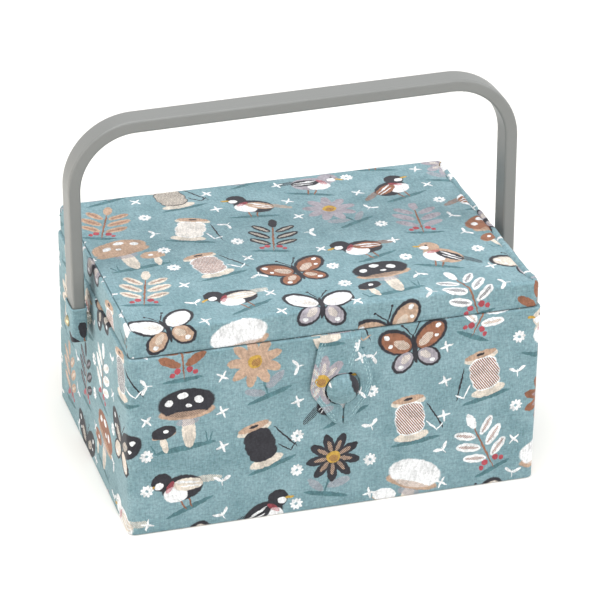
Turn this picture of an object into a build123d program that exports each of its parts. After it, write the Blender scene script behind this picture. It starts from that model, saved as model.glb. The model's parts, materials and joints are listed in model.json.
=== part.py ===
from build123d import *
import os

# Cloth-covered sewing box with a padded lid, a bent carrying handle and a loop-and-button closure.
# Millimetres. The origin is the middle of the underside, +X is right, +Y is back and +Z is up.
# Angles are degrees. Each piece is built at rest: lid shut, handle upright, loop on its button.

# Outside of the closed box. The lid is set in from the body's front and sides, and flush with its back.
BOX_WIDTH = 266.4
BOX_DEPTH = 187.4
BODY_HEIGHT = 123.0
LID_HEIGHT = 17.5
LID_SET_IN = 1.6
SEAM_GAP = 0.5
CORNER_RADIUS = 7.0
SMALLEST_CORNER = 1.0

# Layers of the body, counted inwards from the outside
COVER_CLOTH = 1.0
WALL_BOARD = 3.0
LINING_CLOTH = 0.8
LOWER_EDGE_RADIUS = 3.0
UPPER_EDGE_EASE = 0.6
HEM_WIDTH = 16.0
UNDERSIDE_THICKNESS = 0.8
UNDERSIDE_INSET = 6.0
BASE_BOARD = 3.0
FLOOR_PAD = 2.2
FLOOR_PAD_EDGE = 0.8
PAD_CLEARANCE = 0.3

# Layers of the lid
LID_BOARD = 3.0
LID_BOARD_EASE = 2.4
LID_PAD = 1.0
LID_CROWN = 0.8
LID_FRONT_RADIUS = 6.0
LID_BACK_RADIUS = 2.5
SIDE_BAND_RIM = 2.6
SIDE_BAND_EDGE_RADIUS = 1.0
TUCK_WIDTH = 0.5
LID_LINING_PANEL = 2.5
LID_LINING_EDGE = 1.0
LID_LINING_CLEARANCE = 0.4

# Cloth hinge across the back seam
HINGE_CLOTH_WIDTH = 236.0
HINGE_CLOTH_BELOW = 16.0
HINGE_CLOTH_ABOVE = 11.0
HINGE_CLOTH_THICKNESS = 0.8
HINGE_CLOTH_GAP = 0.15
HINGE_CLOTH_CORNER = 3.0

# Handle pivots in the side walls
PIVOT_BELOW_TOP = 17.5
RIVET_RADIUS = 2.0
RIVET_CLEARANCE = 0.1
RIVET_HEAD_RADIUS = 3.7
RIVET_HEAD_HEIGHT = 2.0
RIVET_HEAD_RIM = 0.5
RIVET_HEAD_GAP = 0.2
RIVET_TAIL_RADIUS = 3.2
RIVET_TAIL_HEIGHT = 1.2
WASHER_RADIUS = 5.2
WASHER_THICKNESS = 1.0
SPACER_RADIUS = 4.1
SPACER_GROOVE_RADIUS = 3.4
SPACER_GROOVE_WIDTH = 0.6
SPACER_CHAMFER = 0.2
SPACER_GAP = 0.2

# Bent handle. It stands a little askew: its bar falls and leans towards the left.
HANDLE_STRAP_WIDTH = 16.2
HANDLE_STRAP_THICKNESS = 8.2
HANDLE_WALL_GAP = 5.0
HANDLE_REACH = 136.9
HANDLE_BEND_RADIUS = 36.25
HANDLE_LEAN = 2.2
HANDLE_FALL = 2.6
HANDLE_EDGE_RADIUS = 1.5
HANDLE_END_BELOW_PIVOT = 9.5
HANDLE_END_RADIUS = 5.0

# Cloth sleeves round the handle's ends
SLEEVE_WALL = 0.9
SLEEVE_CLEARANCE = 0.05
SLEEVE_BELOW_PIVOT = 12.0
SLEEVE_ABOVE_PIVOT = 11.8
SLEEVE_HEM_HEIGHT = 2.2
SLEEVE_HEM_PROUD = 0.3
SLEEVE_CORNER = 2.2

# Covered button on the front wall
BUTTON_X = 2.7
BUTTON_BELOW_LID = 37.6
BUTTON_RADIUS = 10.5
BUTTON_DOME = 3.8
BUTTON_SKIRT = 3.0
BUTTON_TURN_IN = 0.85
BUTTON_SHELL = 1.2
BUTTON_STANDOFF = 1.0
BUTTON_BACK_THICKNESS = 1.4
BUTTON_SHANK_RADIUS = 2.0
BUTTON_SHANK_OVERLAP = 0.5
BUTTON_ANCHOR_RADIUS = 7.0
BUTTON_ANCHOR_THICKNESS = 1.0
BUTTON_FIT = 0.2
# Where the button's side turns into its dome, as shares of the radius and of the dome's height
BUTTON_SHOULDER_REACH = 0.75
BUTTON_SHOULDER_RISE = 0.5
BUTTON_SIDE_REACH = 0.94
BUTTON_SIDE_RISE = 0.08

# Closure loop, a folded strip of cloth hanging from the lid's front edge
LOOP_LAYER = 0.9
LOOP_OFF_WALL = 0.3
LOOP_BELOW_LID = 0.2
LOOP_HOLE_CLEARANCE = 0.5
LOOP_SLIT = 0.9
LOOP_TIP_HOLD = 3.0
# Outer edges of the loop as (x, height below the lid's lower edge), from the top to the tip
LOOP_LEFT_EDGE = [(-11.5, 0.0), (-14.3, 14.0), (-18.2, 24.0), (-17.6, 38.5), (-9.6, 51.5), (-2.2, 60.5)]
LOOP_RIGHT_EDGE = [(14.2, 0.0), (14.6, 10.0), (20.6, 22.0), (23.0, 33.0), (17.4, 48.5), (9.2, 60.5)]
# Edge of the front layer where the strip crosses over itself above the button
LOOP_CROSSING = [(14.2, 0.0), (13.2, 9.0), (5.5, 24.0)]
LOOP_TIP_DROP = 2.2

# Lift-out tray
TRAY_BELOW_TOP = 8.0
TRAY_CLEARANCE = 1.2
TRAY_FLANGE_WIDTH = 7.0
TRAY_FLANGE_THICKNESS = 2.0
TRAY_DEPTH = 36.0
TRAY_WALL = 1.8
TRAY_DRAFT = 1.5
TRAY_CORNER = 10.0
TRAY_POCKET_CORNER = 6.0
TRAY_FLOOR_EASE = 2.0
TRAY_FRONT_ROW = 62.0
TRAY_END_POCKET = 66.0
TRAY_BACK_POCKETS = 4
TRAY_GRIP_WIDTH = 58.0
TRAY_GRIP_RISE = 4.0
TRAY_GRIP_SLOT_WIDTH = 34.0
TRAY_GRIP_SLOT_HEIGHT = 11.0
TRAY_GRIP_SLOT_DROP = 8.0
TRAY_GRIP_DEPTH = 18.0
TRAY_GRIP_THICKNESS = 2.4
TRAY_GRIP_CLEARANCE = 0.1
TRAY_GRIP_NOTCH = 8.0
LEDGE_WIDTH = 5.0
LEDGE_HEIGHT = 12.0
LEDGE_END_GAP = 14.0
LEDGE_CHAMFER = 2.5

# Pincushion and flat pocket inside the lid
PINCUSHION_WIDTH = 72.0
PINCUSHION_DEPTH = 88.0
PINCUSHION_THICKNESS = 11.5
PINCUSHION_CORNER = 12.0
PINCUSHION_X = 76.0
# The pad's sections from the lining to its crown, as (share of the thickness, how far the side draws in)
PINCUSHION_SECTIONS = [
    (0.0, 3.0), (0.15, 0.9), (0.35, 0.0), (0.55, 0.6), (0.75, 2.8), (0.9, 6.6), (0.97, 10.5), (1.0, 20.0)
]
POCKET_WIDTH = 136.0
POCKET_DEPTH = 112.0
POCKET_THICKNESS = 3.4
POCKET_CLOTH = 0.9
POCKET_CORNER = 10.0
POCKET_SLOPE = 3.0
POCKET_X = -44.0
POCKET_Y = 8.0
ELASTIC_WIDTH = 8.0
ELASTIC_THICKNESS = 1.6
ELASTIC_GAP = 0.2
ELASTIC_EDGE = 0.5

# How far a cutting block runs past the face that it opens, and how near counts as the same height
OVERCUT = 1.0
NEAR = 1e-3

# Heights and depths that follow from the sizes above
HEM_BOTTOM = UNDERSIDE_THICKNESS
BOARD_BOTTOM = HEM_BOTTOM + COVER_CLOTH
FLOOR_BOTTOM = BOARD_BOTTOM + BASE_BOARD
BOARD_TOP = BODY_HEIGHT - COVER_CLOTH
BOARD_INSET = COVER_CLOTH
LINING_INSET = COVER_CLOTH + WALL_BOARD
INSIDE_INSET = LINING_INSET + LINING_CLOTH
FRONT = -BOX_DEPTH / 2
BACK = BOX_DEPTH / 2
SIDE = BOX_WIDTH / 2
LID_WIDTH = BOX_WIDTH - 2 * LID_SET_IN
LID_DEPTH = BOX_DEPTH - LID_SET_IN
LID_SIDE = LID_WIDTH / 2
LID_MIDDLE = LID_SET_IN / 2
LID_BOTTOM = BODY_HEIGHT + SEAM_GAP
LID_TOP = LID_BOTTOM + LID_HEIGHT
LID_FRAME_BOTTOM = LID_BOTTOM + COVER_CLOTH
LID_PAD_BOTTOM = LID_TOP - COVER_CLOTH - LID_PAD
LID_BOARD_BOTTOM = LID_PAD_BOTTOM - LID_BOARD
LID_LINING_BOTTOM = LID_BOARD_BOTTOM - LID_LINING_PANEL
PIVOT_HEIGHT = BODY_HEIGHT - PIVOT_BELOW_TOP
BUTTON_HEIGHT = LID_BOTTOM - BUTTON_BELOW_LID
HANDLE_INSIDE = SIDE + HANDLE_WALL_GAP
HANDLE_MIDDLE = HANDLE_INSIDE + HANDLE_STRAP_THICKNESS / 2
HANDLE_TOP = PIVOT_HEIGHT + HANDLE_REACH
SLEEVE_INNER_FACE = HANDLE_MIDDLE - HANDLE_STRAP_THICKNESS / 2 - SLEEVE_CLEARANCE - SLEEVE_WALL
SLEEVE_OUTER_FACE = HANDLE_MIDDLE + HANDLE_STRAP_THICKNESS / 2 + SLEEVE_CLEARANCE + SLEEVE_WALL
TRAY_TOP = BODY_HEIGHT - TRAY_BELOW_TOP
TRAY_FLANGE_BOTTOM = TRAY_TOP - TRAY_FLANGE_THICKNESS
TRAY_INSET = INSIDE_INSET + TRAY_CLEARANCE
TUB_INSET = TRAY_INSET + TRAY_FLANGE_WIDTH
FAR = 2 * BOX_WIDTH


def corner_at(inset):
    """Corner radius of the outline this far inside the box's outer face."""
    return max(CORNER_RADIUS - inset, SMALLEST_CORNER)


def outline(inset, corner=None):
    """Plan outline of the box, offset inwards by the inset."""
    radius = corner_at(inset) if corner is None else corner
    return RectangleRounded(BOX_WIDTH - 2 * inset, BOX_DEPTH - 2 * inset, radius)


def block(inset, bottom, top, corner=None):
    """Upright block with the box's plan outline."""
    return extrude(Pos(0, 0, bottom) * outline(inset, corner), amount=top - bottom)


def lid_block(inset, bottom, top):
    """Upright block with the lid's plan outline, offset inwards by the inset."""
    face = RectangleRounded(LID_WIDTH - 2 * inset, LID_DEPTH - 2 * inset, corner_at(inset))
    return extrude(Pos(0, LID_MIDDLE, bottom) * face, amount=top - bottom)


def plate(width, depth, bottom, thickness, corner, x=0.0, y=0.0):
    """Flat plate with rounded corners."""
    return extrude(Pos(x, y, bottom) * RectangleRounded(width, depth, corner), amount=thickness)


def edges_at(solid, height):
    """Edges that lie flat at one height."""
    return solid.edges().filter_by_position(Axis.Z, height - NEAR, height + NEAR)


def rod_x(radius, start, end, y=0.0, z=0.0):
    """Round bar along X from start to end."""
    return Pos((start + end) / 2, y, z) * Rot(0, 90, 0) * Cylinder(radius, abs(end - start))


def rod_y(radius, start, end, x=0.0, z=0.0):
    """Round bar along Y from start to end."""
    return Pos(x, (start + end) / 2, z) * Rot(90, 0, 0) * Cylinder(radius, abs(end - start))


def pivot_bore():
    """Bore for both rivets, right across the box."""
    return rod_x(RIVET_RADIUS + RIVET_CLEARANCE, -FAR / 2, FAR / 2, z=PIVOT_HEIGHT)


def button_bore():
    """Bore for the button's shank through the front wall."""
    radius = BUTTON_SHANK_RADIUS + RIVET_CLEARANCE
    inner = FRONT + INSIDE_INSET + BUTTON_ANCHOR_THICKNESS
    return rod_y(radius, FRONT - OVERCUT, inner + OVERCUT, BUTTON_X, BUTTON_HEIGHT)


def on_both_sides(name, build):
    """The same piece on the left wall and mirrored on the right wall."""
    right = build()
    return {name + "_left": mirror(right, about=Plane.YZ), name + "_right": right}


def underside_sheet():
    """Thin sheet glued over the turned-in hem, which the box rests on."""
    return block(UNDERSIDE_INSET, 0, UNDERSIDE_THICKNESS)


def base_board():
    """Board inside the foot of the wall ring."""
    return block(LINING_INSET, BOARD_BOTTOM, FLOOR_BOTTOM)


def body_wall_board():
    """Four walls bent from one strip of board, with an eased lower edge."""
    ring = block(BOARD_INSET, BOARD_BOTTOM, BOARD_TOP)
    ring = chamfer(edges_at(ring, BOARD_BOTTOM), LOWER_EDGE_RADIUS - COVER_CLOTH)
    ring -= block(LINING_INSET, BOARD_BOTTOM - OVERCUT, BOARD_TOP + OVERCUT)
    return ring - pivot_bore() - button_bore()


def body_cover_cloth():
    """Printed cloth drawn round the walls, over the top edge and under the foot as a hem."""
    skin = block(0, HEM_BOTTOM, BODY_HEIGHT)
    skin = fillet(edges_at(skin, HEM_BOTTOM), LOWER_EDGE_RADIUS)
    skin = chamfer(edges_at(skin, BODY_HEIGHT), UPPER_EDGE_EASE)
    core = block(BOARD_INSET, BOARD_BOTTOM, BOARD_TOP)
    core = chamfer(edges_at(core, BOARD_BOTTOM), LOWER_EDGE_RADIUS - COVER_CLOTH)
    skin -= core
    skin -= block(LINING_INSET, BOARD_TOP - OVERCUT, BODY_HEIGHT + OVERCUT)
    skin -= block(HEM_WIDTH, HEM_BOTTOM - OVERCUT, BOARD_BOTTOM + OVERCUT)
    return skin - pivot_bore() - button_bore()


def body_wall_lining():
    """Plain cloth glued inside the walls."""
    lining = block(LINING_INSET, FLOOR_BOTTOM, BOARD_TOP)
    lining -= block(INSIDE_INSET, FLOOR_BOTTOM - OVERCUT, BOARD_TOP + OVERCUT)
    return lining - pivot_bore() - button_bore()


def floor_lining_pad():
    """Thinly padded cloth panel on the floor."""
    pad = block(INSIDE_INSET + PAD_CLEARANCE, FLOOR_BOTTOM, FLOOR_BOTTOM + FLOOR_PAD)
    return chamfer(edges_at(pad, FLOOR_BOTTOM + FLOOR_PAD), FLOOR_PAD_EDGE)


def tray_ledge(side):
    """Card strip on the front or back wall that carries the tray's flange."""
    length = BOX_WIDTH - 2 * INSIDE_INSET - 2 * LEDGE_END_GAP
    wall = BOX_DEPTH / 2 - INSIDE_INSET
    ledge = Pos(0, wall - LEDGE_WIDTH / 2, TRAY_FLANGE_BOTTOM - LEDGE_HEIGHT / 2) * Box(
        length, LEDGE_WIDTH, LEDGE_HEIGHT
    )
    inner = ledge.edges().filter_by(Axis.X).group_by(Axis.Y)[0].sort_by(Axis.Z)[0]
    ledge = chamfer(inner, LEDGE_CHAMFER)
    return ledge if side > 0 else mirror(ledge, about=Plane.XZ)


def hinge_cloth():
    """Strip of cover cloth glued across the back seam, which bends as the lid opens."""
    height = HINGE_CLOTH_BELOW + HINGE_CLOTH_ABOVE
    middle = BODY_HEIGHT + (HINGE_CLOTH_ABOVE - HINGE_CLOTH_BELOW) / 2
    face = Plane((0, BACK + HINGE_CLOTH_GAP, middle), x_dir=(-1, 0, 0), z_dir=(0, 1, 0))
    sheet = face * RectangleRounded(HINGE_CLOTH_WIDTH, height, HINGE_CLOTH_CORNER)
    return extrude(sheet, amount=HINGE_CLOTH_THICKNESS)


def lid_prism(bottom, top, inset=0.0):
    """Block of the lid's plan outline, with rounded top edges along the front and the back only."""
    depth = LID_DEPTH - 2 * inset
    face = Pos(LID_MIDDLE, (bottom + top) / 2) * Rectangle(depth, top - bottom)
    upper = face.vertices().group_by(Axis.Y)[-1].sort_by(Axis.X)
    face = fillet(upper[0], LID_FRONT_RADIUS - inset)
    upper = face.vertices().sort_by(Axis.X).group_by(Axis.X)[-1].sort_by(Axis.Y)
    face = fillet(upper[-1], LID_BACK_RADIUS - inset)
    bar = extrude(Plane.YZ * face, amount=SIDE, both=True)
    return bar & lid_block(inset, bottom, top)


def crown_cutter(low, high, half_width):
    """Shallow barrel over the lid, as the space above a surface that rises from low to high."""
    rise = high - low
    radius = (half_width**2 + rise**2) / (2 * rise)
    barrel = Pos(0, 0, high - radius) * Rot(90, 0, 0) * Cylinder(radius, FAR)
    slab = Pos(0, 0, low + FAR / 2 - SEAM_GAP) * Box(FAR, FAR, FAR)
    return slab - barrel


def lid_rim_board():
    """Board rim round the lid."""
    rim = lid_block(BOARD_INSET, LID_FRAME_BOTTOM, LID_BOARD_BOTTOM)
    return rim - lid_block(LINING_INSET, LID_FRAME_BOTTOM - OVERCUT, LID_BOARD_BOTTOM + OVERCUT)


def lid_top_board():
    """Flat board of the lid, eased where the cloth wraps over the front edge."""
    board = lid_block(BOARD_INSET, LID_BOARD_BOTTOM, LID_PAD_BOTTOM)
    upper = edges_at(board, LID_PAD_BOTTOM).filter_by(Axis.X).sort_by(Axis.Y)
    return chamfer(upper[0], LID_BOARD_EASE)


def lid_wadding_pad():
    """Thin wadding on the board, crowned across the width and stopping at the tucked side seams."""
    inset = COVER_CLOTH + SIDE_BAND_RIM
    pad = lid_block(inset, LID_PAD_BOTTOM, LID_PAD_BOTTOM + LID_PAD + LID_CROWN)
    return pad - crown_cutter(LID_PAD_BOTTOM + LID_PAD, LID_PAD_BOTTOM + LID_PAD + LID_CROWN, LID_SIDE)


def lid_cover_cloth():
    """One cloth over the top, wrapped down the front and the back and turned in below the rim."""
    skin = lid_prism(LID_BOTTOM, LID_TOP + LID_CROWN)
    skin -= crown_cutter(LID_TOP, LID_TOP + LID_CROWN, LID_SIDE)
    skin -= lid_block(BOARD_INSET, LID_FRAME_BOTTOM, LID_BOARD_BOTTOM)
    skin -= lid_top_board()
    skin -= lid_wadding_pad()
    skin -= lid_block(LINING_INSET, LID_BOTTOM - OVERCUT, LID_BOARD_BOTTOM)
    return skin - side_band_space(TUCK_WIDTH)


def side_band_space(extra):
    """Space along both sides of the lid that the side bands fill."""
    length = LID_DEPTH - 2 * CORNER_RADIUS
    height = LID_HEIGHT + LID_CROWN + 2 * OVERCUT

    def slice_of(reach, bottom):
        """Block as wide as the reach, from the lid's side inwards, running past it outside."""
        middle = LID_SIDE + OVERCUT - reach / 2
        return Pos(middle, LID_MIDDLE, bottom + height / 2) * Box(reach + 2 * OVERCUT, length, height)

    right = slice_of(SIDE_BAND_RIM + extra, LID_BOARD_BOTTOM) + slice_of(BOARD_INSET, LID_BOTTOM - OVERCUT)
    return right + mirror(right, about=Plane.YZ)


def lid_side_band():
    """Cloth over the side of the lid, whose folded top edge stands outside the tucked seam."""
    length = LID_DEPTH - 2 * CORNER_RADIUS - 2 * TUCK_WIDTH
    middle = (LID_SIDE - SIDE_BAND_RIM / 2, LID_MIDDLE, (LID_BOTTOM + LID_TOP) / 2)
    band = Pos(middle) * Box(SIDE_BAND_RIM, length, LID_HEIGHT)
    top_outer = band.edges().filter_by(Axis.Y).group_by(Axis.Z)[-1].sort_by(Axis.X)[-1]
    band = fillet(top_outer, SIDE_BAND_EDGE_RADIUS)
    return band - lid_block(BOARD_INSET, LID_BOTTOM - OVERCUT, LID_PAD_BOTTOM)


def lid_rim_lining():
    """Plain cloth glued inside the lid's rim."""
    lining = lid_block(LINING_INSET, LID_BOTTOM, LID_BOARD_BOTTOM)
    return lining - lid_block(INSIDE_INSET, LID_BOTTOM - OVERCUT, LID_BOARD_BOTTOM + OVERCUT)


def lid_lining_panel():
    """Cloth-covered card that closes the inside of the lid."""
    panel = lid_block(INSIDE_INSET + LID_LINING_CLEARANCE, LID_LINING_BOTTOM, LID_BOARD_BOTTOM)
    return fillet(edges_at(panel, LID_LINING_BOTTOM), LID_LINING_EDGE)


def pincushion():
    """Stuffed pad on the lid's lining, crowned and drawn in at its seam."""
    pad_outlines = [
        Pos(PINCUSHION_X, 0, LID_LINING_BOTTOM - share * PINCUSHION_THICKNESS)
        * RectangleRounded(PINCUSHION_WIDTH - 2 * draw, PINCUSHION_DEPTH - 2 * draw, PINCUSHION_CORNER)
        for share, draw in PINCUSHION_SECTIONS
    ]
    return loft(pad_outlines, ruled=True)


def pocket_shape(shrink):
    """Flat pouch narrowing away from the lining, made smaller all round by shrink."""
    near = Pos(POCKET_X, POCKET_Y, LID_LINING_BOTTOM) * RectangleRounded(
        POCKET_WIDTH - 2 * shrink, POCKET_DEPTH - 2 * shrink, POCKET_CORNER
    )
    far = Pos(POCKET_X, POCKET_Y, LID_LINING_BOTTOM - POCKET_THICKNESS + shrink) * RectangleRounded(
        POCKET_WIDTH - 2 * POCKET_SLOPE - 2 * shrink,
        POCKET_DEPTH - 2 * POCKET_SLOPE - 2 * shrink,
        POCKET_CORNER - POCKET_SLOPE,
    )
    return loft([near, far], ruled=True)


def lid_pocket_pouch():
    """Cloth pouch sewn to the lid's lining on three sides, open towards the front."""
    pouch = pocket_shape(0) - pocket_shape(POCKET_CLOTH)
    mouth = POCKET_Y - POCKET_DEPTH / 2 + POCKET_SLOPE + ELASTIC_WIDTH
    front = Pos(POCKET_X, mouth - FAR / 2, LID_LINING_BOTTOM) * Box(FAR, FAR, FAR)
    return pouch - front


def lid_pocket_elastic():
    """Covered elastic that draws the pouch's mouth flat against the lining."""
    mouth = POCKET_Y - POCKET_DEPTH / 2 + POCKET_SLOPE + ELASTIC_WIDTH
    y = mouth - ELASTIC_GAP - ELASTIC_WIDTH / 2
    bottom = LID_LINING_BOTTOM - ELASTIC_THICKNESS
    band = plate(POCKET_WIDTH, ELASTIC_WIDTH, bottom, ELASTIC_THICKNESS, SMALLEST_CORNER, POCKET_X, y)
    return chamfer(edges_at(band, bottom), ELASTIC_EDGE)


def handle_bow():
    """Strap bent into a bow: two legs upright in their sleeves, two bends and a bar across."""
    bar_under = HANDLE_TOP - HANDLE_STRAP_THICKNESS
    foot = PIVOT_HEIGHT - HANDLE_END_BELOW_PIVOT
    sleeve_top = PIVOT_HEIGHT + SLEEVE_ABOVE_PIVOT + OVERCUT

    def arch(grow):
        """Face under the bow's inner side, grown all round by this much."""
        right = HANDLE_INSIDE + grow
        top = bar_under + grow
        corners = [
            (-right, foot), (-right, sleeve_top), (-right - HANDLE_LEAN, top - HANDLE_FALL),
            (right - HANDLE_LEAN, top + HANDLE_FALL), (right, sleeve_top), (right, foot)
        ]
        face = make_face(Polyline([*corners, corners[0]]))
        bends = face.vertices().filter_by_position(Axis.Y, top - 2 * HANDLE_FALL, top + 2 * HANDLE_FALL)
        return fillet(bends, HANDLE_BEND_RADIUS + grow)

    profile = arch(HANDLE_STRAP_THICKNESS) - arch(0)
    bow = extrude(Plane.XZ * profile, amount=HANDLE_STRAP_WIDTH / 2, both=True)
    shortest = HANDLE_STRAP_THICKNESS + NEAR
    long_edges = [e for e in bow.edges() if abs(e.tangent_at(0).Y) < NEAR and e.length > shortest]
    bow = fillet(long_edges, HANDLE_EDGE_RADIUS)
    tall = HANDLE_TOP + HANDLE_FALL - foot
    side_view = Pos(0, foot + tall / 2) * Rectangle(HANDLE_STRAP_WIDTH, tall)
    side_view = fillet(side_view.vertices().group_by(Axis.Y)[0], HANDLE_END_RADIUS)
    bow &= extrude(Plane.YZ * side_view, amount=FAR / 2, both=True)
    return bow - pivot_bore()


def handle_sleeve():
    """Cloth sleeve round one end of the handle, with a turned hem at its top."""

    def tube(grow, bottom, top, corner):
        """Upright block round the strap's end, grown all round."""
        section = RectangleRounded(HANDLE_STRAP_THICKNESS + 2 * grow, HANDLE_STRAP_WIDTH + 2 * grow, corner)
        return extrude(Pos(HANDLE_MIDDLE, 0, bottom) * section, amount=top - bottom)

    low = PIVOT_HEIGHT - SLEEVE_BELOW_PIVOT
    high = PIVOT_HEIGHT + SLEEVE_ABOVE_PIVOT
    outside = SLEEVE_CLEARANCE + SLEEVE_WALL
    sleeve = tube(outside, low, high - SLEEVE_HEM_HEIGHT, SLEEVE_CORNER)
    sleeve += tube(outside + SLEEVE_HEM_PROUD, high - SLEEVE_HEM_HEIGHT, high, SLEEVE_CORNER)
    inside = PIVOT_HEIGHT - HANDLE_END_BELOW_PIVOT - SLEEVE_CLEARANCE
    sleeve -= tube(SLEEVE_CLEARANCE, inside, high + OVERCUT, HANDLE_EDGE_RADIUS)
    return sleeve - pivot_bore()


def pivot_rivet():
    """Rivet with a domed head outside the sleeve and a peened tail on the inside washer."""
    tail = SIDE - INSIDE_INSET - WASHER_THICKNESS
    head = SLEEVE_OUTER_FACE + SLEEVE_HEM_PROUD + RIVET_HEAD_GAP
    crown = head + RIVET_HEAD_HEIGHT
    rise = RIVET_HEAD_HEIGHT - RIVET_HEAD_RIM
    steps = Polyline([
        (crown, 0),
        (tail - RIVET_TAIL_HEIGHT, 0),
        (tail - RIVET_TAIL_HEIGHT, RIVET_TAIL_RADIUS),
        (tail, RIVET_TAIL_RADIUS),
        (tail, RIVET_RADIUS),
        (head, RIVET_RADIUS),
        (head, RIVET_HEAD_RADIUS),
        (crown - rise, RIVET_HEAD_RADIUS),
    ])
    dome = SagittaArc(steps @ 1, steps @ 0, arc_sagitta(rise, RIVET_HEAD_RADIUS))
    return Pos(0, 0, PIVOT_HEIGHT) * revolve(make_face([*steps.edges(), dome]), Axis.X)


def arc_sagitta(rise, reach):
    """Bulge of the half arc over its own chord, for a dome of this rise over this radius."""
    ball = (reach**2 + rise**2) / (2 * rise)
    half_chord = (reach**2 + rise**2) ** 0.5 / 2
    return ball - (ball**2 - half_chord**2) ** 0.5


def pivot_spacer():
    """Turned metal spacer that holds the handle off the wall, with two grooves."""
    start = SIDE + SPACER_GAP
    end = SLEEVE_INNER_FACE - SLEEVE_HEM_PROUD - SPACER_GAP
    spacer = rod_x(SPACER_RADIUS, start, end, z=PIVOT_HEIGHT)
    spacer = chamfer(spacer.edges(), SPACER_CHAMFER)
    collar = (end - start - 2 * SPACER_GROOVE_WIDTH) / 3
    for index in range(2):
        near = start + collar + index * (collar + SPACER_GROOVE_WIDTH)
        far = near + SPACER_GROOVE_WIDTH
        groove = rod_x(SPACER_RADIUS + OVERCUT, near, far, z=PIVOT_HEIGHT)
        spacer -= groove - rod_x(SPACER_GROOVE_RADIUS, near - OVERCUT, far + OVERCUT, z=PIVOT_HEIGHT)
    return spacer - pivot_bore()


def rivet_washer():
    """Washer under the rivet's tail, flat on the lining."""
    outer = SIDE - INSIDE_INSET
    return rod_x(WASHER_RADIUS, outer - WASHER_THICKNESS, outer, z=PIVOT_HEIGHT) - pivot_bore()


def button_outline():
    """Half section of the button's dome and skirt, in the XY plane with the crown up."""
    top = BUTTON_SKIRT + BUTTON_DOME
    base = BUTTON_RADIUS - BUTTON_TURN_IN
    skirt = Polyline([(0, top), (0, 0), (base, 0), (BUTTON_RADIUS, BUTTON_SKIRT / 2)])
    shoulder = (BUTTON_RADIUS * BUTTON_SHOULDER_REACH, BUTTON_SKIRT + BUTTON_DOME * BUTTON_SHOULDER_RISE)
    side_middle = (BUTTON_RADIUS * BUTTON_SIDE_REACH, BUTTON_SKIRT + BUTTON_DOME * BUTTON_SIDE_RISE)
    side = ThreePointArc(skirt @ 1, side_middle, shoulder)
    dome = SagittaArc((0, top), shoulder, -arc_sagitta(top - shoulder[1], shoulder[0]))
    return make_face([*skirt.edges(), side, dome])


def button_cavity():
    """Half section of the hollow inside the button: a straight skirt under a plain dome."""
    radius = BUTTON_RADIUS - BUTTON_SHELL
    low = BUTTON_SKIRT / 2
    top = BUTTON_SKIRT + BUTTON_DOME - BUTTON_SHELL
    sides = Polyline([(0, top), (0, -OVERCUT), (radius, -OVERCUT), (radius, low)])
    dome = SagittaArc((0, top), (radius, low), -arc_sagitta(top - low, radius))
    return make_face([*sides.edges(), dome])


def button_dome():
    """Domed shell covered with cloth, open at its back."""
    spun = revolve(button_outline(), Axis.Y) - revolve(button_cavity(), Axis.Y)
    return Pos(BUTTON_X, FRONT - BUTTON_STANDOFF, BUTTON_HEIGHT) * Rot(180, 0, 0) * spun


def button_back():
    """Back plate clinched into the button, with the shank that goes through the wall."""
    face = FRONT - BUTTON_STANDOFF
    radius = BUTTON_RADIUS - BUTTON_SHELL - BUTTON_FIT
    back = rod_y(radius, face - BUTTON_BACK_THICKNESS, face, BUTTON_X, BUTTON_HEIGHT)
    inner = FRONT + INSIDE_INSET + BUTTON_ANCHOR_THICKNESS
    return back + rod_y(BUTTON_SHANK_RADIUS, face - BUTTON_SHANK_OVERLAP, inner, BUTTON_X, BUTTON_HEIGHT)


def button_anchor():
    """Washer on the lining that the shank is fixed to."""
    start = FRONT + INSIDE_INSET
    end = start + BUTTON_ANCHOR_THICKNESS
    disc = rod_y(BUTTON_ANCHOR_RADIUS, start, end, BUTTON_X, BUTTON_HEIGHT)
    return disc - button_bore()


def closure_loop():
    """Cloth strip folded round the button: it crosses itself above and is nipped to a tip below."""
    top = LID_BOTTOM - LOOP_BELOW_LID
    left_foot, right_foot = LOOP_LEFT_EDGE[-1], LOOP_RIGHT_EDGE[-1]
    tip_x = (left_foot[0] + right_foot[0]) / 2
    tip_y = -left_foot[1] - LOOP_TIP_DROP
    hole_y = BUTTON_HEIGHT - top

    def loop_face():
        """Outline of the whole loop, x to the right and y up from the top edge."""
        left = Spline([(x, -drop) for x, drop in LOOP_LEFT_EDGE])
        end = ThreePointArc(left @ 1, (tip_x, tip_y), (right_foot[0], -right_foot[1]))
        right = Spline([(x, -drop) for x, drop in reversed(LOOP_RIGHT_EDGE)])
        return make_face([left, end, right, Line(right @ 1, left @ 0)])

    opening = Pos(BUTTON_X, hole_y) * Circle(BUTTON_RADIUS + LOOP_HOLE_CLEARANCE)
    slit_end = tip_y + LOOP_TIP_HOLD
    slit = Pos(tip_x, (hole_y + slit_end) / 2) * Rectangle(LOOP_SLIT, hole_y - slit_end)
    whole = loop_face() - opening - slit
    crossing = [(x, -drop) for x, drop in LOOP_CROSSING]
    low = tip_y - OVERCUT
    top_right = (crossing[0][0], OVERCUT)
    border = [(-FAR, OVERCUT), top_right, *crossing, (tip_x, hole_y), (tip_x, low), (-FAR, low)]
    front_side = make_face(Polyline([*border, border[0]]))

    def layer(face, depth):
        """One thickness of cloth, standing this far off the wall."""
        upright = Plane((0, FRONT - depth, top), x_dir=(1, 0, 0), z_dir=(0, -1, 0))
        return extrude(upright * face, amount=LOOP_LAYER)

    return layer(whole, LOOP_OFF_WALL) + layer(whole & front_side, LOOP_OFF_WALL + LOOP_LAYER)


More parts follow.
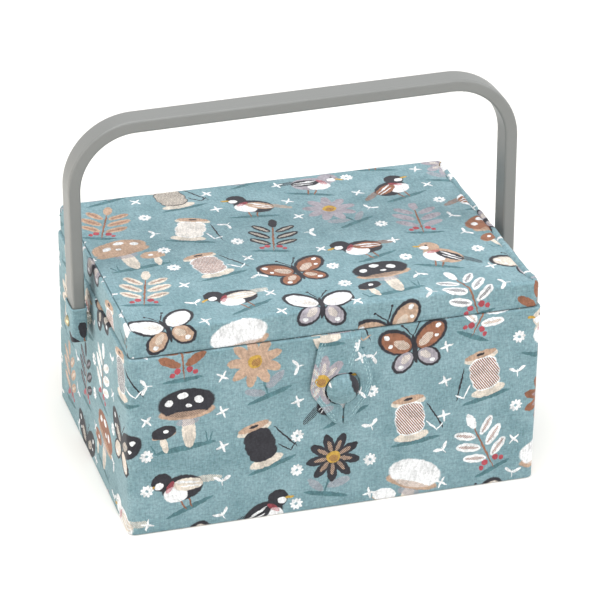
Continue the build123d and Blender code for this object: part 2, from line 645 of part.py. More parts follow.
def tray_pocket(width, depth, x, y):
    """Drafted pocket of the tray, cut down from its top."""
    mouth = Pos(x, y, TRAY_TOP) * RectangleRounded(width, depth, TRAY_POCKET_CORNER)
    cut = extrude(mouth, amount=TRAY_DEPTH - TRAY_WALL, dir=(0, 0, -1), taper=TRAY_DRAFT)
    return chamfer(edges_at(cut, TRAY_TOP - TRAY_DEPTH + TRAY_WALL), TRAY_FLOOR_EASE)


def compartment_tray():
    """Moulded tray: a flange, a long and a square pocket in front and a row of pockets behind."""
    tub = extrude(
        Pos(0, 0, TRAY_FLANGE_BOTTOM) * outline(TUB_INSET, TRAY_CORNER),
        amount=TRAY_DEPTH - TRAY_FLANGE_THICKNESS,
        dir=(0, 0, -1),
        taper=TRAY_DRAFT,
    )
    tub = chamfer(edges_at(tub, TRAY_TOP - TRAY_DEPTH), TRAY_FLOOR_EASE)
    tray = tub + block(TRAY_INSET, TRAY_FLANGE_BOTTOM, TRAY_TOP, TRAY_CORNER)
    inside_width = BOX_WIDTH - 2 * TUB_INSET - 2 * TRAY_WALL
    inside_depth = BOX_DEPTH - 2 * TUB_INSET - 2 * TRAY_WALL
    left = -inside_width / 2
    front = -inside_depth / 2
    front_y = front + TRAY_FRONT_ROW / 2
    long_width = inside_width - TRAY_END_POCKET - TRAY_WALL
    tray -= tray_pocket(long_width, TRAY_FRONT_ROW, left + long_width / 2, front_y)
    tray -= tray_pocket(TRAY_END_POCKET, TRAY_FRONT_ROW, -left - TRAY_END_POCKET / 2, front_y)
    back_depth = inside_depth - TRAY_FRONT_ROW - TRAY_WALL
    back_y = -front - back_depth / 2
    pocket_width = (inside_width - (TRAY_BACK_POCKETS - 1) * TRAY_WALL) / TRAY_BACK_POCKETS
    for index in range(TRAY_BACK_POCKETS):
        x = left + pocket_width / 2 + index * (pocket_width + TRAY_WALL)
        tray -= tray_pocket(pocket_width, back_depth, x, back_y)
    tall = TRAY_GRIP_DEPTH + OVERCUT
    notch_middle = (0, grip_position(), TRAY_TOP + OVERCUT - tall / 2)
    return tray - Pos(notch_middle) * Box(TRAY_GRIP_WIDTH, TRAY_GRIP_NOTCH, tall)


def grip_position():
    """Middle of the rib between the tray's two rows."""
    return -(BOX_DEPTH / 2 - TUB_INSET - TRAY_WALL) + TRAY_FRONT_ROW + TRAY_WALL / 2


def tray_grip():
    """Upright finger grip clipped into the tray's middle rib, with rounded shoulders and a slot."""
    low = TRAY_TOP - TRAY_GRIP_DEPTH + TRAY_GRIP_CLEARANCE
    high = TRAY_TOP + TRAY_GRIP_RISE
    wide = TRAY_GRIP_WIDTH - 2 * TRAY_GRIP_CLEARANCE
    face = Pos(0, (low + high) / 2) * Rectangle(wide, high - low)
    face = fillet(face.vertices().group_by(Axis.Y)[-1], TRAY_GRIP_RISE)
    face -= Pos(0, TRAY_TOP - TRAY_GRIP_SLOT_DROP) * SlotOverall(TRAY_GRIP_SLOT_WIDTH, TRAY_GRIP_SLOT_HEIGHT)
    upright = Plane((0, grip_position(), 0), x_dir=(1, 0, 0), z_dir=(0, -1, 0))
    return extrude(upright * face, amount=TRAY_GRIP_THICKNESS / 2, both=True)


def all_parts():
    """Every piece of the box by its name."""
    parts = {
        "underside_sheet": underside_sheet(),
        "base_board": base_board(),
        "body_wall_board": body_wall_board(),
        "body_cover_cloth": body_cover_cloth(),
        "body_wall_lining": body_wall_lining(),
        "floor_lining_pad": floor_lining_pad(),
        "tray_ledge_front": tray_ledge(-1),
        "tray_ledge_back": tray_ledge(1),
        "hinge_cloth": hinge_cloth(),
        "button_dome": button_dome(),
        "button_back": button_back(),
        "button_anchor": button_anchor(),
        "lid_rim_board": lid_rim_board(),
        "lid_top_board": lid_top_board(),
        "lid_wadding_pad": lid_wadding_pad(),
        "lid_cover_cloth": lid_cover_cloth(),
        "lid_rim_lining": lid_rim_lining(),
        "lid_lining_panel": lid_lining_panel(),
        "pincushion": pincushion(),
        "lid_pocket_pouch": lid_pocket_pouch(),
        "lid_pocket_elastic": lid_pocket_elastic(),
        "closure_loop": closure_loop(),
        "compartment_tray": compartment_tray(),
        "tray_grip": tray_grip(),
        "handle_bow": handle_bow(),
    }
    parts.update(on_both_sides("lid_side_band", lid_side_band))
    parts.update(on_both_sides("handle_sleeve", handle_sleeve))
    parts.update(on_both_sides("pivot_rivet", pivot_rivet))
    parts.update(on_both_sides("pivot_spacer", pivot_spacer))
    parts.update(on_both_sides("rivet_washer", rivet_washer))
    return parts


os.makedirs("parts", exist_ok=True)
for node, piece in all_parts().items():
    export_step(piece, "parts/" + node + ".step")
    print(node, len(piece.solids()), round(piece.volume, 1))
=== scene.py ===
"""Cloth-covered sewing box with a wadded lid, a bent handle and a cloth loop that closes over a button.

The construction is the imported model. This file adds the cloth, the stuffing, the stitches, the finish of
every surface, and the studio. Geometry is worked out in millimetres and becomes metres in the meshes.
"""

import json
import math

import bmesh
import bpy
import numpy as np
from mathutils import Matrix, Vector, noise


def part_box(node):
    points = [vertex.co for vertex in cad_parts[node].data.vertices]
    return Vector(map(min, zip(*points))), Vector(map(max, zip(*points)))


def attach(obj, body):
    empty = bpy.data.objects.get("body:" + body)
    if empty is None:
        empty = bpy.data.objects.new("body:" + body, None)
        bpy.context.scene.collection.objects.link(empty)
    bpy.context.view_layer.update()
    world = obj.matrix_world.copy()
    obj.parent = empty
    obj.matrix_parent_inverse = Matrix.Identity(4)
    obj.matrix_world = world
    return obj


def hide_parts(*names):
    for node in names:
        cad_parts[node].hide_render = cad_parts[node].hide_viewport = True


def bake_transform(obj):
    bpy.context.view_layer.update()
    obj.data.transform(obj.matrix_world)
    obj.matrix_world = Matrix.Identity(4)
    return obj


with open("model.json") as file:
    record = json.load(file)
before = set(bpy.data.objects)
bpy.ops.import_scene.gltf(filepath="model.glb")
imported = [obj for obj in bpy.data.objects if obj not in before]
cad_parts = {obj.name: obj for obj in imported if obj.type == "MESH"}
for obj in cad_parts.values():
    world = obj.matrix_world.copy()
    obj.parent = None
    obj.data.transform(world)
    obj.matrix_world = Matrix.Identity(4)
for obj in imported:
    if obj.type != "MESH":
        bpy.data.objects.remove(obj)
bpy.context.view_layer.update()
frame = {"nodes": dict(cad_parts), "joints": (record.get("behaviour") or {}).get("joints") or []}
NODES = frame["nodes"]

bl_info = {
    "name": "Sewing Box",
    "version": (1, 0, 0),
    "blender": (4, 5, 0),
    "location": "3D View > Sidebar > Sewing Box",
    "description": "Dresses the frame of a cloth-covered sewing box and lights it",
    "category": "Add Mesh",
}

MM = 0.001
PRINT_MAP = "print_mm"


def corners_of(node):
    """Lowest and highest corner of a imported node, in millimetres."""
    low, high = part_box(node)
    return low / MM, high / MM


# Places read from the frame, in millimetres
BODY_LOW, BODY_HIGH = corners_of("body_cover_cloth")
LID_LOW, LID_HIGH = corners_of("lid_cover_cloth")
SIDE = BODY_HIGH.x
BACK = BODY_HIGH.y
BODY_TOP = BODY_HIGH.z
BODY_FOOT = BODY_LOW.z
LID_FOOT = LID_LOW.z
LID_SIDE = LID_HIGH.x
LID_HALF = (LID_HIGH.y - LID_LOW.y) / 2
LID_MIDDLE = (LID_HIGH.y + LID_LOW.y) / 2
# Corner radius of the boards, and how far the wadding lifts the middle of the lid above its edges
BOARD_CORNER = 7.0
CROWN = 0.8
LID_TOP = LID_HIGH.z - CROWN
HINGE_LINE = Vector(frame["joints"][0]["pos_m"]) / MM
# Plan outlines as (half width, half depth, y of the middle, corner radius). The cloth is pulled tight at the
# corners, so its radius is smaller than the boards'.
BODY_PLAN = (SIDE, BACK, 0.0, 5.0)
LID_PLAN = (LID_SIDE, LID_HALF, LID_MIDDLE, 4.4)


def from_hex(text):
    """Linear colour of an sRGB hex value."""
    parts = [int(text[i : i + 2], 16) / 255 for i in (1, 3, 5)]
    return tuple(c / 12.92 if c <= 0.04045 else ((c + 0.055) / 1.055) ** 2.4 for c in parts)


def length_property(name, description, millimetres):
    """Length that a user can set, kept in metres."""
    return bpy.props.FloatProperty(
        name=name, description=description, default=millimetres * MM, min=0.0,
        subtype="DISTANCE", unit="LENGTH",
    )


def colour_property(name, description, text):
    """Colour that a user can set, given as an sRGB hex value."""
    return bpy.props.FloatVectorProperty(
        name=name, description=description, default=from_hex(text), min=0.0, max=1.0, size=3, subtype="COLOR"
    )


class SewingBoxSizes(bpy.types.PropertyGroup):
    """Sizes of the cloth work."""

    cloth: length_property("Cloth", "Thickness of the printed cloth", 0.6)
    slack: length_property("Slack", "How far the glued cloth rises and falls over the boards", 0.16)
    motif_width: length_property("Motif width", "Width of one place of the print", 48.0)
    motif_height: length_property("Motif height", "Height of one place of the print", 49.0)
    slub: length_property("Slub", "Length of the thick places in the linen ground", 7.0)
    thread_gap: length_property("Thread gap", "Spacing of the threads that the weave is drawn with", 0.9)
    stitch: length_property("Stitch", "Length of one stitch of the top-stitching", 2.5)
    stitch_gap: length_property("Stitch gap", "Gap between two stitches", 0.35)
    thread: length_property("Thread", "Radius of the sewing thread", 0.2)
    gathers: bpy.props.IntProperty(
        name="Gathers", description="Folds along the elastic of the pocket", default=30, min=4, max=80
    )


class SewingBoxColours(bpy.types.PropertyGroup):
    """Colours of the cloth, the handle and the rest, as the bare materials have them."""

    ground: colour_property("Ground", "Dyed ground of the print", "#90adb5")
    ground_deep: colour_property("Deep ground", "Darker flecks and smudges of the ground", "#577d84")
    white: colour_property("White", "White of the print", "#f0f0f1")
    cream: colour_property("Cream", "Cream of the print", "#e0d5c8")
    tan: colour_property("Tan", "Tan of the print", "#c0a28c")
    rust: colour_property("Rust", "Rust brown of the print", "#96664f")
    charcoal: colour_property("Charcoal", "Near black of the print", "#333238")
    lilac: colour_property("Lilac grey", "Lilac grey of the print", "#a7a1a9")
    mustard: colour_property("Mustard", "Mustard accents", "#c9a24a")
    red: colour_property("Red", "Red and pink accents", "#b8505a")
    lining: colour_property("Lining", "Plain lining cloth", "#d9d2c3")
    pincushion: colour_property("Pincushion", "Cloth of the pincushion", "#6d9aa2")
    handle: colour_property("Handle", "Grey of the handle", "#7e7f7d")
    tray: colour_property("Tray", "Moulded tray", "#e6e6e1")
    thread: colour_property("Thread", "Sewing thread", "#abc9ce")


def sizes():
    """The scene's sizes."""
    return bpy.context.scene.sewing_box_sizes


def colours():
    """The scene's colours."""
    return bpy.context.scene.sewing_box_colours


def rgba(colour):
    """A colour with full opacity."""
    return (*colour, 1.0)


# Materials


def put(tree, kind, feeds=(), out=0, **settings):
    """Adds one shader node, sets it up, feeds its sockets and gives back one of its outputs.

    The feeds are a list in the order of the sockets, or a dict by a socket's name or number.
    """
    node = tree.nodes.new("ShaderNode" + kind)
    for key, value in settings.items():
        setattr(node, key, value)
    pairs = feeds.items() if isinstance(feeds, dict) else enumerate(feeds)
    for key, value in pairs:
        if isinstance(value, bpy.types.NodeSocket):
            tree.links.new(value, node.inputs[key])
        else:
            node.inputs[key].default_value = value
    return node.outputs[out]


def new_material(name):
    """Empty material and its node tree."""
    material = bpy.data.materials.new(name)
    material.use_nodes = True
    material.node_tree.nodes.clear()
    return material, material.node_tree


def finish_material(tree, base, roughness, height=None, relief=0.0, **shine):
    """Surface of a base colour and roughness, with relief in millimetres from a height of 0 to 1."""
    feeds = {"Base Color": base, "Roughness": roughness}
    if height is not None:
        feeds["Normal"] = put(tree, "Bump", {"Strength": 1.0, "Distance": relief * MM, "Height": height})
    feeds.update(shine)
    surface = put(tree, "BsdfPrincipled", feeds)
    output = tree.nodes.new("ShaderNodeOutputMaterial")
    tree.links.new(surface, output.inputs["Surface"])


def mixed(tree, share, first, second, blend="MIX"):
    """Colour between two by a share."""
    return put(tree, "Mix", {0: share, 6: first, 7: second}, out=2, data_type="RGBA", blend_type=blend)


def toned(tree, colour, tone):
    """The colour, darker where the tone is below 1 and lighter where it is above."""
    tones = put(tree, "CombineXYZ", [tone, tone, tone])
    return mixed(tree, 1.0, colour, tones, "MULTIPLY")


def woven_height(tree, place, gap):
    """Height of a plain weave: the warp and weft pass over each other in turn, uneven as spun thread is."""
    turns = put(tree, "VectorMath", [place, (math.pi / gap, math.pi / gap, 0)], operation="MULTIPLY")
    across, along, _ = (put(tree, "SeparateXYZ", [turns], out=k) for k in range(3))
    warp = put(tree, "Math", [put(tree, "Math", [across], operation="SINE")], operation="ABSOLUTE")
    weft = put(tree, "Math", [put(tree, "Math", [along], operation="SINE")], operation="ABSOLUTE")
    over = put(tree, "Math", [warp, weft], operation="MAXIMUM")
    uneven = put(tree, "TexNoise", {"Vector": place, "Scale": 0.8 / gap, "Detail": 2.0})
    return put(tree, "Math", [over, uneven], operation="MULTIPLY")


def ellipse(tree, place, shape):
    """How deep a point lies in an ellipse (x, y, half width, half height, turn).

    It is 1 at the ellipse's middle and 0 at its edge.
    """
    x, y, wide, tall, turn = shape
    feeds = [place, (x, y, 0.0), (0.0, 0.0, math.radians(turn)), (wide, tall, 1.0)]
    within = put(tree, "Mapping", feeds, vector_type="TEXTURE")
    reach = put(tree, "VectorMath", [within], out="Value", operation="LENGTH")
    return put(tree, "Math", [1.0, reach], operation="SUBTRACT")


# The motifs of the print, each drawn on its own square of a sheet and made of ellipses, from the lowest layer
# up. A layer is (colour, how it is folded, hatch pitch in mm or 0, its ellipses). "mirror" draws each ellipse
# on both sides of the motif's middle line, and "petals" repeats it round the flower's middle.
SQUARE = 100.0
MOTIF_SCALE = 1.2
PETALS = 9
FLOWER_MIDDLE = (0.0, 5.0)
# How sharply the paint ends at an ellipse's edge
BRUSH_EDGE = 14.0
MOTIFS = {
    "toadstools": [
        ("deep", "plain", 0.0, [(1, -16.5, 17, 1.7, 0)]),
        ("cream", "plain", 0.0, [(-2, -7, 3.8, 10.5, 3), (11.5, -12, 2, 5.5, -8)]),
        ("lilac", "plain", 0.9, [(-2, -1.5, 6.4, 2.6, 0)]),
        ("tan", "plain", 0.0, [(-2, 4.2, 15.4, 4.4, 4), (11, -6.6, 6.6, 2.3, -6)]),
        ("first", "plain", 0.0, [(-2.4, 9.4, 15.6, 8.6, 4), (11, -5, 6.8, 4, -6)]),
        ("tan", "plain", 0.7, [(-2, 2.6, 12.4, 2.1, 4)]),
        ("white", "plain", 0.0, [(-9, 10, 2.5, 2.1, 30), (-1, 14, 2.9, 1.9, 0), (6.6, 11, 2.3, 1.9, -25),
                                 (-3.4, 7.6, 1.7, 1.2, 0), (10, -4.6, 1.5, 1.1, 0)]),
        ("deep", "plain", 0.0, [(-13, -13.6, 0.5, 4, 20), (-11, -13.6, 0.5, 4.6, -6),
                                (17.5, -14, 0.5, 3.4, -18)]),
    ],
    "daisy": [
        ("deep", "plain", 0.0, [(1, -17, 13, 1.5, 0), (0.6, -8, 0.7, 9.5, -3)]),
        ("lilac", "plain", 0.8, [(6.6, -9.5, 6.6, 2.6, 28), (-5.8, -12, 6, 2.2, -32)]),
        ("first", "petals", 0.0, [(8.6, 0, 6.4, 2.9, 0)]),
        ("second", "petals", 0.9, [(7, 0, 3.6, 1.2, 0)]),
        ("mustard", "plain", 0.0, [(0, 5, 4, 3.8, 0)]),
        ("rust", "plain", 0.7, [(0.4, 4.4, 2.6, 2.2, 0)]),
    ],
    "butterfly": [
        ("charcoal", "mirror", 0.0, [(9.6, 5.8, 10.8, 7.4, 36), (7, -7, 7.4, 5.6, -42)]),
        ("first", "mirror", 0.0, [(9.2, 5.2, 9.2, 5.7, 36)]),
        ("second", "mirror", 0.0, [(6.6, -6.6, 6.2, 4.3, -42)]),
        ("cream", "mirror", 0.8, [(6.6, 3.4, 5, 2.6, 36), (5.4, -5.4, 3.4, 2, -42)]),
        ("white", "mirror", 0.0, [(14, 9.6, 1.7, 1.3, 36), (12.6, 4, 1.2, 1, 0), (8.6, -9.4, 1.5, 1.2, 0)]),
        ("charcoal", "mirror", 0.0, [(0, -0.6, 1.4, 9, 0), (2.6, 11, 0.4, 4.4, -32), (5, 14.6, 0.8, 0.8, 0)]),
    ],
    "songbird": [
        ("deep", "plain", 0.0, [(1, -15, 14, 1.5, 0)]),
        ("rust", "plain", 0.0, [(-0.6, -12, 0.5, 3.6, 6), (3.4, -12, 0.5, 3.6, -6)]),
        ("second", "plain", 0.9, [(-13.4, -3.6, 8.6, 2.1, 24)]),
        ("first", "plain", 0.0, [(0, -2, 11.4, 7.8, 17), (8.4, 6.4, 5.8, 5.4, 0)]),
        ("white", "plain", 0.0, [(4.6, -4, 6.6, 5, 26), (10.6, 4.8, 2.6, 2, 0)]),
        ("mustard", "plain", 0.0, [(14.8, 5.8, 2.5, 0.9, -6)]),
        ("charcoal", "plain", 0.0, [(10, 7.8, 0.8, 0.8, 0)]),
        ("second", "plain", 0.0, [(-3.4, -1.6, 8.2, 3.9, 22)]),
        ("white", "plain", 0.0, [(-4.6, -3.4, 6.2, 0.5, 22), (-4.2, -0.9, 6.6, 0.45, 24),
                                 (-2, 0.8, 5, 0.4, 24)]),
        ("red", "plain", 0.6, [(5.6, 1.4, 4.2, 1.6, -38)]),
    ],
    "sprig": [
        ("deep", "plain", 0.0, [(1, -17.5, 11, 1.4, 0)]),
        ("rust", "plain", 0.0, [(0, -2, 0.55, 16, 0)]),
        ("first", "mirror", 0.0, [(6.4, 9, 6.4, 2.5, 38), (7.4, 1.6, 7.2, 2.8, 34), (7, -6.4, 6.6, 2.6, 30)]),
        ("first", "plain", 0.0, [(0, 15.6, 2.5, 5.2, 0)]),
        ("second", "mirror", 0.8, [(6.4, 9, 5.2, 0.9, 38), (7.4, 1.6, 6, 1, 34), (7, -6.4, 5.4, 0.9, 30)]),
        ("red", "mirror", 0.0, [(3.2, -12, 1.8, 1.8, 0), (6, -14, 1.4, 1.4, 0)]),
    ],
    "reel": [
        ("deep", "plain", 0.0, [(2, -14.8, 14, 1.5, 0)]),
        ("cream", "plain", 0.0, [(0, 10, 9.8, 3.2, 0), (0, -11, 9.8, 3.2, 0)]),
        ("first", "plain", 0.0, [(0, 5, 8, 5, 0), (0, 0, 8.6, 8.4, 0), (0, -5.6, 8, 5, 0)]),
        ("second", "plain", 1.3, [(0, 4.6, 7.6, 4.4, 0), (0, 0, 8.2, 7.6, 0), (0, -5.4, 7.6, 4.4, 0)]),
        ("tan", "plain", 0.0, [(0, 11.4, 9, 2.2, 0)]),
        ("charcoal", "plain", 0.0, [(0, 11.6, 2.6, 0.8, 0), (14, -2, 0.5, 10.5, 24)]),
        ("first", "plain", 0.0, [(11.4, -7.4, 4.6, 0.45, -52), (15.8, -9, 3, 0.45, 40)]),
    ],
}
SMALL_MOTIFS = {
    "leaf_pair": [
        ("white", "mirror", 0.0, [(2.8, 1.4, 3.2, 1.15, 34)]),
        ("white", "plain", 0.0, [(0, -1, 0.4, 3, 0)]),
    ],
    "blossom": [
        ("white", "petals", 0.0, [(2.5, 0, 1.9, 1.05, 0)]),
        ("ground", "plain", 0.0, [(0, 0, 1, 1, 0)]),
    ],
    "crossed": [
        ("white", "plain", 0.0, [(0, 0, 4.6, 0.85, 42), (0, 0, 4.6, 0.85, -48)]),
    ],
}


def print_cells(tree, place, wide, tall, drop, seed):
    """Splits the cloth into places for motifs.

    Gives the point from the middle of its place, in millimetres, and two sets of three chances for the place.
    """
    scaled = put(tree, "VectorMath", [place, (1 / wide, 1 / tall, 0)], operation="MULTIPLY")
    column = put(tree, "VectorMath", [scaled], operation="FLOOR")
    x_cell = put(tree, "SeparateXYZ", [column], out=0)
    parity = put(tree, "Math", [x_cell, 2.0], operation="FLOORED_MODULO")
    odd = put(tree, "Math", [parity, drop], operation="MULTIPLY")
    shift = put(tree, "CombineXYZ", [0.0, odd, seed])
    dropped = put(tree, "VectorMath", [scaled, shift], operation="ADD")
    cell = put(tree, "VectorMath", [dropped], operation="FLOOR")
    fraction = put(tree, "VectorMath", [dropped], operation="FRACTION")
    inner = put(tree, "VectorMath", [fraction, (0.5, 0.5, 0)], operation="SUBTRACT")
    point = put(tree, "VectorMath", [inner, (wide, tall, 0)], operation="MULTIPLY")
    chances = put(tree, "TexWhiteNoise", {"Vector": cell}, out="Color", noise_dimensions="3D")
    other = put(tree, "VectorMath", [cell, (17.3, 5.1, 0)], operation="ADD")
    more = put(tree, "TexWhiteNoise", {"Vector": other}, out="Color", noise_dimensions="3D")
    return point, chances, more


def square_of(tree, chance, motifs):
    """Step along the sheet to the square of the motif that a chance from 0 to 1 picks."""
    scaled = put(tree, "Math", [chance, float(len(motifs))], operation="MULTIPLY")
    square = put(tree, "Math", [scaled], operation="FLOOR")
    return put(tree, "CombineXYZ", [put(tree, "Math", [square, SQUARE], operation="MULTIPLY")])


def folded_places(tree, point, middle):
    """The point as it is, mirrored about the motif's middle line, and folded into one petal of a flower."""
    x, y, _ = (put(tree, "SeparateXYZ", [point], out=k) for k in range(3))
    mirrored = put(tree, "CombineXYZ", [put(tree, "Math", [x], operation="ABSOLUTE"), y])
    round_flower = put(tree, "VectorMath", [point, (middle[0], middle[1], 0)], operation="SUBTRACT")
    fx, fy, _ = (put(tree, "SeparateXYZ", [round_flower], out=k) for k in range(3))
    angle = put(tree, "Math", [fy, fx], operation="ARCTAN2")
    turned = put(tree, "Math", [angle, math.pi / PETALS], operation="PINGPONG")
    reach = put(tree, "VectorMath", [round_flower], out="Value", operation="LENGTH")
    along, aside = (put(tree, "Math", [turned], operation=kind) for kind in ("COSINE", "SINE"))
    petal_x = put(tree, "Math", [reach, along], operation="MULTIPLY")
    petal_y = put(tree, "Math", [reach, aside], operation="MULTIPLY")
    return {"plain": point, "mirror": mirrored, "petals": put(tree, "CombineXYZ", [petal_x, petal_y])}


def draw_motifs(tree, under, motifs, places, step, inks, pitch_place):
    """Paints each motif where the sheet's step puts its square, layer by layer over the colour under it."""
    moved = {fold: put(tree, "VectorMath", [place, step], operation="ADD") for fold, place in places.items()}
    drawn = under
    for index, layers in enumerate(motifs.values()):
        for ink, fold, pitch, ellipses in layers:
            depth = None
            for x, y, wide, tall, turn in ellipses:
                inside = ellipse(tree, moved[fold], (x + index * SQUARE, y, wide, tall, turn))
                depth = inside if depth is None else put(tree, "Math", [depth, inside], operation="MAXIMUM")
            mask = put(tree, "Math", [depth, BRUSH_EDGE], operation="MULTIPLY", use_clamp=True)
            if pitch:
                across = put(tree, "VectorMath", [pitch_place, (0.8 / pitch, 0.6 / pitch, 0)], out="Value",
                             operation="DOT_PRODUCT")
                line = put(tree, "Math", [across, 0.5], operation="PINGPONG")
                keep = put(tree, "Math", [line, 0.2], operation="GREATER_THAN")
                mask = put(tree, "Math", [mask, keep], operation="MULTIPLY")
            drawn = mixed(tree, mask, drawn, inks[ink])
    return drawn


def linen_ground(tree, place, light, deep, slub):
    """Ground printed to look like linen: long thin flecks both ways over soft clouds."""
    flecks = []
    for wide, tall in ((slub, 0.7), (0.7, slub)):
        stretched = put(tree, "VectorMath", [place, (1 / wide, 1 / tall, 0)], operation="MULTIPLY")
        feeds = {"Vector": stretched, "Scale": 1.0, "Detail": 3.0, "Roughness": 0.7}
        flecks.append(put(tree, "TexNoise", feeds))
    fleck = put(tree, "Math", flecks, operation="ADD")
    clouds = put(tree, "TexNoise", {"Vector": place, "Scale": 1 / 26.0, "Detail": 3.0, "Roughness": 0.6})
    total = put(tree, "Math", [fleck, clouds], operation="ADD")
    share = put(tree, "MapRange", [total, 1.2, 1.8, 0.72, 0.0])
    return mixed(tree, share, light, deep)


def ink_chances(tree, chance, inks):
    """One of several inks by a chance from 0 to 1, each as likely as the next."""
    node = tree.nodes.new("ShaderNodeValToRGB")
    ramp = node.color_ramp
    ramp.interpolation = "CONSTANT"
    while len(ramp.elements) < len(inks):
        ramp.elements.new(1.0)
    for index, ink in enumerate(inks):
        ramp.elements[index].position = index / len(inks)
        ramp.elements[index].color = ink
    tree.links.new(chance, node.inputs[0])
    return node.outputs[0]


def brush_strokes(tree, point):
    """Greys of short dry brush strokes, about 1.3 mm wide and 8 mm long, that run down each motif."""
    stretched = put(tree, "VectorMath", [point, (1 / 1.3, 1 / 8.0, 0)], operation="MULTIPLY")
    strokes = put(tree, "TexNoise", {"Vector": stretched, "Scale": 1.0, "Detail": 3.0, "Roughness": 0.65})
    washes = put(tree, "TexNoise", {"Vector": point, "Scale": 0.11, "Detail": 2.0})
    total = put(tree, "Math", [strokes, washes], operation="ADD")
    level = put(tree, "MapRange", [total, 0.72, 1.08, 0.68, 1.05])
    return level


def printed_polycotton(name, start=(0.0, 0.0)):
    """Plain-woven polyester and cotton, reactive-printed with scattered motifs on a linen-like ground.

    Printed cloth is matt, with a faint pile of loose fibres and patchy pigment. Its colour is darker between
    the threads and lighter on their tops, a painted shade and painted highlight of the weave. The threads are
    drawn at three times their real spacing of 0.3 mm, because real ones are too fine to show.
    """
    size, ink = sizes(), colours()
    material, tree = new_material(name)
    flat = put(tree, "UVMap", uv_map=PRINT_MAP)
    place = put(tree, "VectorMath", [flat, (start[0], start[1], 0)], operation="ADD")
    shake = put(tree, "TexNoise", {"Vector": place, "Scale": 0.35, "Detail": 2.0}, out="Color")
    shake = put(tree, "VectorMath", [shake, (0.5, 0.5, 0.5)], operation="SUBTRACT")
    drawn_by_hand = put(tree, "VectorMath", [shake, (1.7, 1.7, 0), place], operation="MULTIPLY_ADD")
    ground = linen_ground(tree, place, rgba(ink.ground), rgba(ink.ground_deep), size.slub / MM)
    wide, tall = size.motif_width / MM, size.motif_height / MM

    point, chances, more = print_cells(tree, drawn_by_hand, wide, tall, 0.5, 3.0)
    jitter = put(tree, "VectorMath", [chances, (0.5, 0.5, 0)], operation="SUBTRACT")
    point = put(tree, "VectorMath", [jitter, (6.0, 5.0, 0), point], operation="MULTIPLY_ADD")
    point = put(tree, "VectorMath", [point, (1 / MOTIF_SCALE, 1 / MOTIF_SCALE, 0)], operation="MULTIPLY")
    first_chance, second_chance, kind_chance = (put(tree, "SeparateXYZ", [more], out=k) for k in range(3))
    lean_chance = put(tree, "SeparateXYZ", [chances], out=2)
    lean = put(tree, "MapRange", [lean_chance, 0.0, 1.0, -0.45, 0.45])
    point = put(tree, "VectorRotate", {"Vector": point, "Angle": lean}, rotation_type="Z_AXIS")
    spread_out = put(tree, "Math", [lean_chance, 13.0], operation="MULTIPLY")
    wrapped = put(tree, "Math", [spread_out], operation="FRACT")
    flips = put(tree, "CombineXYZ", [put(tree, "MapRange", [wrapped, 0.49, 0.51, -1.0, 1.0]), 1.0, 0.0])
    point = put(tree, "VectorMath", [point, flips], operation="MULTIPLY")
    step = square_of(tree, kind_chance, MOTIFS)
    inks = {key: rgba(getattr(ink, key)) for key in
            ("white", "cream", "tan", "rust", "charcoal", "lilac", "mustard", "red", "ground")}
    inks["deep"] = rgba(ink.ground_deep)
    first = ("white", "charcoal", "cream", "white", "tan", "charcoal", "white", "rust", "lilac")
    inks["first"] = ink_chances(tree, first_chance, [inks[k] for k in first])
    second = ("lilac", "rust", "charcoal", "tan", "cream")
    inks["second"] = ink_chances(tree, second_chance, [inks[k] for k in second])
    strokes = brush_strokes(tree, point)
    inks = {key: toned(tree, value, strokes) for key, value in inks.items()}
    places = folded_places(tree, point, FLOWER_MIDDLE)
    drawn = draw_motifs(tree, ground, MOTIFS, places, step, inks, place)

    half_place = put(tree, "VectorMath", [drawn_by_hand, (wide / 2, tall / 4, 0)], operation="ADD")
    small, small_chances, small_more = print_cells(tree, half_place, wide, tall / 2, 0.0, 9.0)
    small_turn = put(tree, "SeparateXYZ", [small_chances], out=0)
    turn = put(tree, "Math", [small_turn, 2 * math.pi], operation="MULTIPLY")
    small = put(tree, "VectorRotate", {"Vector": small, "Angle": turn}, rotation_type="Z_AXIS")
    small_kind = put(tree, "SeparateXYZ", [small_more], out=1)
    small_step = square_of(tree, small_kind, SMALL_MOTIFS)
    small_places = folded_places(tree, small, (0.0, 0.0))
    drawn = draw_motifs(tree, drawn, SMALL_MOTIFS, small_places, small_step, inks, place)

    pigment = put(tree, "TexNoise", {"Vector": place, "Scale": 0.55, "Detail": 4.0, "Roughness": 0.7})
    patchy = put(tree, "MapRange", [pigment, 0.3, 0.7, 0.74, 1.2])
    thread = woven_height(tree, place, size.thread_gap / MM)
    # Painted shade between the threads and painted highlight on their tops, multiplied into the print's
    # colour
    painted_weave_shade = put(tree, "MapRange", [thread, 0.1, 0.7, 0.84, 1.1])
    tone = put(tree, "Math", [patchy, painted_weave_shade], operation="MULTIPLY")
    final = toned(tree, drawn, tone)
    finish_material(tree, final, 0.88, thread, 0.12, **{"Sheen Weight": 0.12, "Sheen Roughness": 0.5,
                                                        "Specular IOR Level": 0.3})
    return material


def plain_cotton(name, colour, gap=1.0, relief=0.14):
    """Plain-woven cotton dyed in one colour: matt, with fine uneven threads, slightly patchy dye and painted
    shade between the threads.
    """
    material, tree = new_material(name)
    place = put(tree, "UVMap", uv_map=PRINT_MAP)
    thread = woven_height(tree, place, gap)
    patchy = put(tree, "TexNoise", {"Vector": place, "Scale": 0.09, "Detail": 5.0, "Roughness": 0.65})
    # Tone from the weave's height, a painted shade between the threads, and from the patchy dye
    painted_weave_shade_and_dye = put(tree, "Math", [thread, patchy], operation="ADD")
    tone = put(tree, "MapRange", [painted_weave_shade_and_dye, 0.5, 1.3, 0.86, 1.06])
    base = toned(tree, rgba(colour), tone)
    finish_material(tree, base, 0.9, thread, relief, **{"Sheen Weight": 0.15, "Specular IOR Level": 0.3})
    return material


